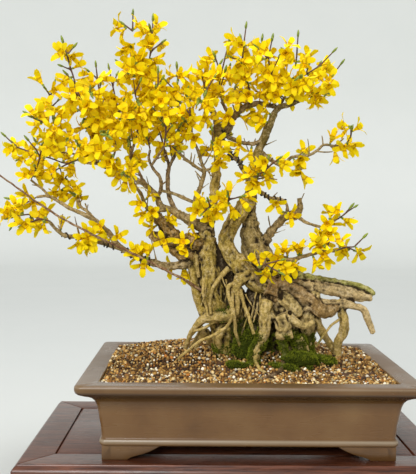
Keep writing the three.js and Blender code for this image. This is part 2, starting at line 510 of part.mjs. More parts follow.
function limbRadii(name) {
  return LIMBS[name].slice(1).map((entry) => entry[3]);
}

// All limbs and roots as one solid, thicker by spare all round
function woodBody(spare) {
  return fuse(Object.keys(LIMBS).map((name) => {
    const sides = LIMBS[name][0];
    const radii = limbRadii(name).map((radius) => radius + spare);
    return toSolid(tube(limbPoints(name), radii, sides, sides > 5 ? 0.1 : 0));
  }));
}

// The tree with its root ball, cut off where its limbs reach the soil outside the pit
function makeWood(wood) {
  const soilAround = soilBody(GAP, FLOOR_TOP).subtract(pitPlug(GAP, POT_HEIGHT + 30));
  const rootBall = pitPlug(GAP, POT_HEIGHT + 30).intersect(soilBody(0, FLOOR_TOP));
  const tree = biggest(wood.subtract(soilAround)).add(rootBall);
  addMesh('wood', toGeometry(biggest(tree)), COLOURS.wood, 0.85);
}

// A moss cushion on the soil, kept clear of the wood and the soil
function makeMoss(name, centre, size, swollenWood) {
  const cushion = new THREE.SphereGeometry(1, 10, 6);
  cushion.rotateX(Math.PI / 2);
  cushion.scale(...size);
  cushion.translate(...centre);
  const clear = toSolid(cushion).subtract(swollenWood).subtract(soilBody(GAP, FLOOR_TOP));
  addMesh(name, toGeometry(biggest(clear)), COLOURS.moss, 1);
}

// One rail of the stand's top with mitred ends, from its section of outward reach and height
function makeRail(name, signX, signY, section) {
  const innerX = STAND_WIDTH / 2 - RAIL_WIDTH;
  const innerY = STAND_DEPTH / 2 - RAIL_WIDTH;
  const rings = [-1, 1].map((end) => section.map(([out, height]) => {
    const x = signX ? signX * (innerX + out) : end * (innerX + out - GAP);
    const y = signY ? signY * (innerY + out) : end * (innerY + out - GAP);
    return new THREE.Vector3(STAND_X + x, STAND_Y + y, height);
  }));
  const turned = signX > 0 || signY < 0;
  addMesh(name, loft(turned ? rings : rings.reverse()), COLOURS.stand, 0.35);
}

function makeStand() {
  const section = [
    [0, -RAIL_THICKNESS], [0, 0], [RAIL_WIDTH, 0], [RAIL_WIDTH + 1, -3], [RAIL_WIDTH + 4, -4.5],
    [RAIL_WIDTH + NOSING, -9], [RAIL_WIDTH + NOSING, -15], [RAIL_WIDTH + 4, -20], [RAIL_WIDTH, -22],
    [RAIL_WIDTH - 2, -RAIL_THICKNESS],
  ];
  makeRail('rail_front', 0, -1, section);
  makeRail('rail_back', 0, 1, section);
  makeRail('rail_left', -1, 0, section);
  makeRail('rail_right', 1, 0, section);

  const panelX = STAND_WIDTH / 2 - RAIL_WIDTH - GAP;
  const panelY = STAND_DEPTH / 2 - RAIL_WIDTH - GAP;
  const panelRings = [[0, -PANEL_THICKNESS], [0, -3], [PANEL_BEVEL, 0]].map(([inset, height]) => (
    [[1, 1], [-1, 1], [-1, -1], [1, -1]].map(([signX, signY]) => new THREE.Vector3(
      STAND_X + signX * (panelX - inset), STAND_Y + signY * (panelY - inset), height))));
  addMesh('panel', loft(panelRings), COLOURS.stand, 0.35);

  const legX = STAND_WIDTH / 2 - LEG_INSET - LEG_SIZE / 2;
  const legY = STAND_DEPTH / 2 - LEG_INSET - LEG_SIZE / 2;
  const legHeight = STAND_HEIGHT - RAIL_THICKNESS - GAP;
  const legMiddle = -STAND_HEIGHT + legHeight / 2;
  const corners = { front_left: [-1, -1], front_right: [1, -1], back_left: [-1, 1], back_right: [1, 1] };
  Object.entries(corners).forEach(([corner, [signX, signY]]) => {
    const leg = new THREE.BoxGeometry(LEG_SIZE, LEG_SIZE, legHeight);
    leg.translate(STAND_X + signX * legX, STAND_Y + signY * legY, legMiddle);
    addMesh(`leg_${corner}`, leg, COLOURS.stand, 0.35);
  });
  const apronTop = -RAIL_THICKNESS - GAP;
  const spanX = 2 * (legX - LEG_SIZE / 2 - GAP);
  const spanY = 2 * (legY - LEG_SIZE / 2 - GAP);
  [['apron_front', 0, -1], ['apron_back', 0, 1], ['apron_left', -1, 0], ['apron_right', 1, 0]]
    .forEach(([name, signX, signY]) => {
      const apron = new THREE.BoxGeometry(
        signX ? APRON_THICKNESS : spanX, signY ? APRON_THICKNESS : spanY, APRON_HEIGHT);
      apron.translate(STAND_X + signX * legX, STAND_Y + signY * legY, apronTop - APRON_HEIGHT / 2);
      addMesh(name, apron, COLOURS.stand, 0.35);
    });
}

// Training wire wound along a stretch of a limb
function makeWire(name, { limb, from, to, turns }) {
  const points = limbPoints(limb);
  const radii = limbRadii(limb);
  const frames = framesAlong(points);
  const route = [];
  const steps = turns * 8;
  for (let step = 0; step <= steps; step += 1) {
    const at = from + (to - from) * step / steps;
    const index = Math.min(Math.floor(at), points.length - 2);
    const part = at - index;
    const angle = step * Math.PI / 4;
    const reach = THREE.MathUtils.lerp(radii[index], radii[index + 1], part) + 3 * GAP + WIRE_RADIUS;
    const across = frames[index].across.clone().lerp(frames[index + 1].across, part).normalize();
    const along = points[index + 1].clone().sub(points[index]).normalize();
    across.addScaledVector(along, -across.dot(along)).normalize();
    const up = along.clone().cross(across);
    route.push(points[index].clone().lerp(points[index + 1], part)
      .addScaledVector(across, reach * Math.cos(angle)).addScaledVector(up, reach * Math.sin(angle)));
  }
  addMesh(name, tube(route, route.map(() => WIRE_RADIUS), 4), COLOURS.wire, 0.5);
}

// Closest distance between two straight stretches
function stretchDistance(a, b, c, d) {
  const u = b.clone().sub(a);
  const v = d.clone().sub(c);
  const w = a.clone().sub(c);
  const uu = u.dot(u);
  const uv = u.dot(v);
  const vv = v.dot(v);
  const spread = uu * vv - uv * uv;
  let s = spread > 1e-9 ? (uv * v.dot(w) - vv * u.dot(w)) / spread : 0;
  s = Math.min(Math.max(s, 0), 1);
  const t = Math.min(Math.max((uv * s + v.dot(w)) / vv, 0), 1);
  s = Math.min(Math.max((uv * t - u.dot(w)) / uu, 0), 1);
  return w.addScaledVector(u, s).addScaledVector(v, -t).length();
}

// Distance from a point to a straight stretch
function pointDistance(point, from, to) {
  const closest = new THREE.Line3(from, to).closestPointToPoint(point, true, new THREE.Vector3());
  return closest.distanceTo(point);
}

// Whether two round flower faces of a given reach cross each other
function facesCross(one, other, reach) {
  const between12 = other.centre.clone().sub(one.centre);
  if (between12.length() > 2 * reach) return false;
  const line = one.facing.clone().cross(other.facing);
  const slant = line.length();
  if (slant < 0.2) return Math.abs(between12.dot(one.facing)) < 3 + reach * slant;
  line.normalize();
  const far1 = Math.abs(between12.dot(other.facing)) / slant;
  const far2 = Math.abs(between12.dot(one.facing)) / slant;
  if (far1 >= reach || far2 >= reach) return false;
  const half1 = Math.sqrt(reach * reach - far1 * far1);
  const half2 = Math.sqrt(reach * reach - far2 * far2);
  return Math.abs(between12.dot(line)) < half1 + half2;
}

// Whether a straight stretch of some thickness comes near a flower's round face
function stretchCrosses(from, to, thickness, flower) {
  const rise = from.clone().sub(flower.centre).dot(flower.facing);
  const fall = to.clone().sub(flower.centre).dot(flower.facing);
  const near = Math.min(Math.abs(rise), Math.abs(fall));
  if (rise * fall > 0 && near > thickness + 2.5) return false;
  const part = rise === fall ? 0.5 : Math.min(Math.max(rise / (rise - fall), 0), 1);
  const at = from.clone().lerp(to, part);
  return at.distanceTo(flower.centre) < PETAL_REACH + thickness + 1.5;
}

// Straight stretches of every limb and shoot, every shoot, and every flower, in the order of growth
const stretches = [];
const shoots = [];
const flowers = [];

function addStretches(owner, points, radii) {
  for (let index = 0; index < points.length - 1; index += 1) {
    const radius = Math.max(radii[index], radii[index + 1]);
    stretches.push({ owner, from: points[index], to: points[index + 1], radius });
  }
}

// Directions across a straight line, turned by an angle
function frameOf(along, helper) {
  const across = along.clone().cross(helper).normalize();
  return { along, across, up: along.clone().cross(across) };
}

function outward(frame, angle) {
  return frame.across.clone().multiplyScalar(Math.cos(angle)).addScaledVector(frame.up, Math.sin(angle));
}

// A shoot with a node at every NODE_STEP, where flowers and side shoots stand on its three sides
function addShoot(owner, points, first, bare, turn) {
  const whole = points[points.length - 1].clone().sub(points[0]).normalize();
  const helper = Math.abs(whole.z) < 0.8 ? new THREE.Vector3(0, 0, 1) : new THREE.Vector3(0, 1, 0);
  const nodes = [];
  let walked = first;
  for (let index = 0; index < points.length - 1; index += 1) {
    const run = points[index + 1].clone().sub(points[index]);
    const length = run.length();
    const along = run.divideScalar(length);
    const spare = index === points.length - 2 ? bare : 0;
    while (walked < length - spare) {
      const at = points[index].clone().addScaledVector(along, walked);
      nodes.push({ at, frame: frameOf(along.clone(), helper), growths: [null, null, null] });
      walked += NODE_STEP;
    }
    walked -= length;
  }
  const shoot = { owner, points, nodes, helper, turn };
  shoots.push(shoot);
  addStretches(owner, points, points.map(() => SHOOT_RADIUS));
  return shoot;
}

function sideAngle(shoot, side) {
  return shoot.turn + Math.PI / 3 + side * 2 * Math.PI / 3;
}

// Side shoots at every SIDE_EVERY nodes of a main shoot, each where it clears all other wood
function growSideShoots(shoot) {
  shoot.nodes.forEach((node, index) => {
    if (index % SIDE_EVERY !== 1) return;
    const side = (index + 2) % 3;
    const share = 1 - SIDE_TAPER * index / shoot.nodes.length;
    for (let attempt = 0; attempt < TRIES; attempt += 1) {
      const slant = between(0.6, 1.1);
      const away = outward(node.frame, sideAngle(shoot, side) + between(-0.4, 0.4));
      const reach = between(24, 40) * share;
      const along = node.frame.along.clone().multiplyScalar(Math.cos(slant))
        .addScaledVector(away, Math.sin(slant));
      const to = node.at.clone().addScaledVector(along, reach);
      const foot = node.at.clone().addScaledVector(along, 4);
      const clear = stretches.every((other) => (other.owner === shoot.owner
        ? pointDistance(to, other.from, other.to) > 12
        : stretchDistance(foot, to, other.from, other.to) > other.radius + 4));
      if (clear) {
        node.growths[side] = addShoot(shoot.owner, [node.at, to], 10, 0, 0);
        return;
      }
    }
  });
}

function flowerClears(flower) {
  const { owner, root, centre } = flower;
  for (const other of flowers) {
    if (other.centre.distanceTo(centre) > 2 * PETAL_REACH + NECK) continue;
    const kin = other.owner === owner;
    if (facesCross(flower, other, kin ? PETAL_REACH * KIN_CLOSENESS : PETAL_REACH + 1)) return false;
    if (stretchCrosses(root, centre, 1.5, other)) return false;
    if (stretchCrosses(other.root, other.centre, 1.5, flower)) return false;
    const necks = other.root === root ? 99 : stretchDistance(root, centre, other.root, other.centre);
    if (necks < 6) return false;
  }
  return stretches.every((other) => {
    if (stretchCrosses(other.from, other.to, other.radius + 0.5, flower)) return false;
    if (other.owner === owner && pointDistance(root, other.from, other.to) < 3) return true;
    return stretchDistance(root, centre, other.from, other.to) > other.radius + 4;
  });
}

// A pair of flowers at each node, facing outward from two of the shoot's sides
function growFlowers(shoot) {
  shoot.nodes.forEach((node, index) => {
    for (let twin = 0; twin < 2; twin += 1) {
      const side = (index + twin) % 3;
      for (let attempt = 0; attempt < TRIES && !node.growths[side]; attempt += 1) {
        const slant = between(1, 1.7);
        const away = outward(node.frame, sideAngle(shoot, side) + between(-0.7, 0.7));
        const roll = between(0, Math.PI / 2);
        const facing = node.frame.along.clone().multiplyScalar(Math.cos(slant))
          .addScaledVector(away, Math.sin(slant)).normalize();
        const centre = node.at.clone().addScaledVector(facing, NECK);
        const flower = { owner: shoot.owner, root: node.at, facing, roll, centre };
        if (flowerClears(flower)) {
          flowers.push(flower);
          node.growths[side] = flower;
        }
      }
    }
  });
}

// Faces between a base of three points and a ring of four, started where the two lie closest
function stitch(skin, low, high) {
  const spread = (shift) => low.reduce((sum, point, index) => (
    sum + skin.points[point].distanceTo(skin.points[high[(index + shift) % 4]])), 0);
  const [shift] = [0, 1, 2, 3].sort((one, other) => spread(one) - spread(other));
  const ring = high.map((_, index) => high[(index + shift) % 4]);
  for (let corner = 0; corner < 3; corner += 1) {
    const next = low[(corner + 1) % 3];
    skin.faces.push(low[corner], next, ring[corner], next, ring[corner + 1], ring[corner]);
  }
  skin.faces.push(low[0], ring[0], ring[3]);
}

function addPoint(skin, point) {
  skin.points.push(point);
  return skin.points.length - 1;
}

// Four-petalled flower on a three-cornered base: notches between the petals, tips and a raised middle
function skinFlower(skin, base, flower) {
  const helper = Math.abs(flower.facing.z) < 0.9 ? new THREE.Vector3(0, 0, 1) : new THREE.Vector3(1, 0, 0);
  const frame = frameOf(flower.facing, helper);
  const at = (reach, angle, lift) => addPoint(skin, flower.centre.clone()
    .addScaledVector(flower.facing, lift).addScaledVector(outward(frame, angle), reach));
  const middle = at(0, 0, THROAT_LIFT);
  const notches = [];
  const tips = [];
  for (let petal = 0; petal < 4; petal += 1) {
    const angle = flower.roll + petal * Math.PI / 2;
    notches.push(at(NOTCH_REACH, angle - Math.PI / 4, 0));
    tips.push(at(PETAL_REACH, angle, PETAL_LIFT));
  }
  for (let petal = 0; petal < 4; petal += 1) {
    const next = notches[(petal + 1) % 4];
    skin.faces.push(middle, notches[petal], tips[petal], middle, tips[petal], next);
    skin.faces.push(notches[petal], next, tips[petal]);
  }
  stitch(skin, base, notches);
}

function skinRing(skin, shoot, at, frame) {
  return [0, 1, 2].map((corner) => addPoint(skin, at.clone()
    .addScaledVector(outward(frame, shoot.turn + corner * 2 * Math.PI / 3), SHOOT_RADIUS)));
}

// A three-cornered shoot, opened at its nodes into flowers and side shoots, and pointed at its tip
function skinShoot(skin, shoot, base) {
  const tip = shoot.points[shoot.points.length - 1];
  const firstAlong = shoot.points[1].clone().sub(shoot.points[0]).normalize();
  let ring = base;
  if (base) {
    const frame = frameOf(firstAlong, shoot.helper);
    const corner = skin.points[base[0]].clone().sub(shoot.points[0]);
    shoot.turn = Math.atan2(corner.dot(frame.up), corner.dot(frame.across));
  } else {
    ring = skinRing(skin, shoot, shoot.points[0], frameOf(shoot.limbAlong, shoot.helper));
    skin.faces.push(ring[0], ring[2], ring[1]);
  }
  const join = (low, high, growths) => {
    for (let side = 0; side < 3; side += 1) {
      const next = (side + 1) % 3;
      const growth = growths ? growths[side] : null;
      if (!growth) skin.faces.push(low[side], low[next], high[next]);
      else if (growth.facing) skinFlower(skin, [low[side], low[next], high[next]], growth);
      else skinShoot(skin, growth, [low[side], low[next], high[next]]);
      skin.faces.push(low[side], high[next], high[side]);
    }
  };
  shoot.nodes.filter((node) => node.growths.some(Boolean)).forEach((node) => {
    const [low, high] = [-NODE_HALF, NODE_HALF].map((walk) => (
      skinRing(skin, shoot, node.at.clone().addScaledVector(node.frame.along, walk), node.frame)));
    join(ring, low, null);
    join(low, high, node.growths);
    ring = high;
  });
  const end = addPoint(skin, tip);
  for (let side = 0; side < 3; side += 1) skin.faces.push(ring[side], ring[(side + 1) % 3], end);
}

function makeSprays() {
  Object.keys(LIMBS).forEach((name) => {
    addStretches('wood', limbPoints(name), limbRadii(name).map((radius) => radius * 1.1));
  });
  const mains = Object.entries(SHOOTS).map(([name, entries]) => {
    const points = entries.map(([column, row, depth]) => place(column, row, depth));
    const [beforeEnd, end] = limbPoints(name).slice(-2);
    const limbAlong = end.clone().sub(beforeEnd).normalize();
    points[0].addScaledVector(limbAlong, GAP);
    const bare = points.length > 3 ? BARE_TIP : 0;
    return Object.assign(addShoot(name, points, 8, bare, between(0, 2)), { limbAlong });
  });
  mains.forEach(growSideShoots);
  shoots.forEach(growFlowers);
  mains.forEach((shoot) => {
    const skin = { points: [], faces: [] };
    skinShoot(skin, shoot, null);
    const geometry = new THREE.BufferGeometry().setFromPoints(skin.points);
    geometry.setIndex(skin.faces);
    addMesh(`spray_${shoot.owner}`, geometry, COLOURS.spray, 0.6);
  });
}

makeStand();
makePot();
makeSoil();
const swollenWood = woodBody(3 * GAP);
makeWood(woodBody(0));
makeMoss('moss_front', [4, -12, 138], [24, 14, 32], swollenWood);
makeMoss('moss_middle', [86, -30, 126], [30, 22, 11], swollenWood);
Object.entries(WIRES).forEach(([name, wire]) => makeWire(name, wire));
makeSprays();

// The origin is at the middle of the bottom of the object's box
const box = new THREE.Box3().setFromObject(bonsai);
const middle = box.getCenter(new THREE.Vector3());
bonsai.children.forEach((mesh) => mesh.geometry.translate(-middle.x, -middle.y, -box.min.z));

export default bonsai;
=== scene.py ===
"""Forsythia bonsai in flower, in its clay pot on a display stand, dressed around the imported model."""

import json
import math
import random

import bmesh
import bpy
import numpy as np
from bpy.props import FloatProperty, FloatVectorProperty, IntProperty, PointerProperty
from mathutils import Matrix, Vector, noise

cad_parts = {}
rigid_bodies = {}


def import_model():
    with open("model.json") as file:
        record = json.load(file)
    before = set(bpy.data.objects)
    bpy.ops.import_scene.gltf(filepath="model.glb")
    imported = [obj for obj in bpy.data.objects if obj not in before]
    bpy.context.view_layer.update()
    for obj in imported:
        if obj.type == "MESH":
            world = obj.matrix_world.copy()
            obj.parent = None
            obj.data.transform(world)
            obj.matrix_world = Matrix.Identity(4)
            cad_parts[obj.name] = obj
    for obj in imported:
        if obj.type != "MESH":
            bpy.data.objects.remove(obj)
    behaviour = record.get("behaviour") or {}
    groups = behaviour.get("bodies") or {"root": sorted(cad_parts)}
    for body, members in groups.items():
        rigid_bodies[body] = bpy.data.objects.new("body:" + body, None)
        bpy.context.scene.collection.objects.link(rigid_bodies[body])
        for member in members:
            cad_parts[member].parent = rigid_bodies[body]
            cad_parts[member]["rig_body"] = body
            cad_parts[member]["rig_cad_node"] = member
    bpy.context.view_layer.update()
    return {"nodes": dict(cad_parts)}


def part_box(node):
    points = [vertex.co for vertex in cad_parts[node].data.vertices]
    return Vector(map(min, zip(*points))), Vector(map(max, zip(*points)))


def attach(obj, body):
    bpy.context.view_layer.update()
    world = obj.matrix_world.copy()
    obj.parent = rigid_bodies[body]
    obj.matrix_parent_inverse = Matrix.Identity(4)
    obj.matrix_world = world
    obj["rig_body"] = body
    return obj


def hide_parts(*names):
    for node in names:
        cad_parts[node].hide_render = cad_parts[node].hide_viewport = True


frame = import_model()

bl_info = {
    "name": "Forsythia bonsai",
    "version": (1, 0, 0),
    "blender": (4, 5, 0),
    "location": "View3D > Sidebar > Bonsai",
    "description": "Builds a flowering forsythia bonsai with its pot and stand",
    "category": "Add Mesh",
}

MM = 0.001

# The pot's own middle on the ground of the stand's top, which every size below is counted from
POT_LOW, POT_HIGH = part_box("pot")
POT_GAP = 0.3 * MM
ORIGIN = Vector(((POT_LOW.x + POT_HIGH.x) / 2, (POT_LOW.y + POT_HIGH.y) / 2, POT_LOW.z - POT_GAP))

# The camera: its place, turn, focal length in pixels, and the picture's size and middle in pixels
EYE = ORIGIN + Vector((-78, -1198, 367)) * MM
EYE_TURN = (
    Matrix.Rotation(math.radians(-0.8), 3, "Z")
    @ Matrix.Rotation(math.radians(-2.3), 3, "X")
    @ Matrix.Rotation(math.radians(-0.6), 3, "Y")
)
EYE_FOCAL = 740
VIEW_WIDTH = 416
VIEW_MIDDLE = (208, 237)
SENSOR_WIDTH = 36

# Pot: outside and inside profile as inset from the rim and height, in millimetres
POT_CORNER = 9
FOOT_HEIGHT = 20
FLOOR_TOP = 30
POT_OUTSIDE = [
    (37, 20), (34, 21.2), (32.4, 23.4), (32, 26), (32.4, 28.6), (34, 30.8), (35.2, 32), (34.6, 40),
    (33.6, 50), (32, 60), (30.6, 70), (28.8, 80), (26.2, 87), (22, 92.2), (16, 96), (9, 98.8), (4.2, 101.2),
    (1.4, 103.8), (0.2, 107), (0, 110), (0.2, 113.2), (2.2, 115),
]
POT_INSIDE = [(28.6, 115), (31, 113.6), (31.4, 110), (34, 97), (39, 84), (43, 66), (46, FLOOR_TOP)]
# Bracket feet: inset from the rim, the straight part and the sweep along the side, thickness, and how far
# each reaches up into the body
FOOT_INSET = 36
FOOT_REACH = 38
FOOT_SWEEP = 46
FOOT_THICKNESS = 14
FOOT_OVERLAP = 1.5
DRAIN_RADIUS = 12
DRAIN_SPACING = 220

# Soil surface: level at the wall and the mound under the tree
SOIL_LEVEL = 108
MOUND = {"height": 25, "x": -8, "y": 60, "radius_x": 195, "radius_y": 100}
SOIL_HALF = (217, 142)

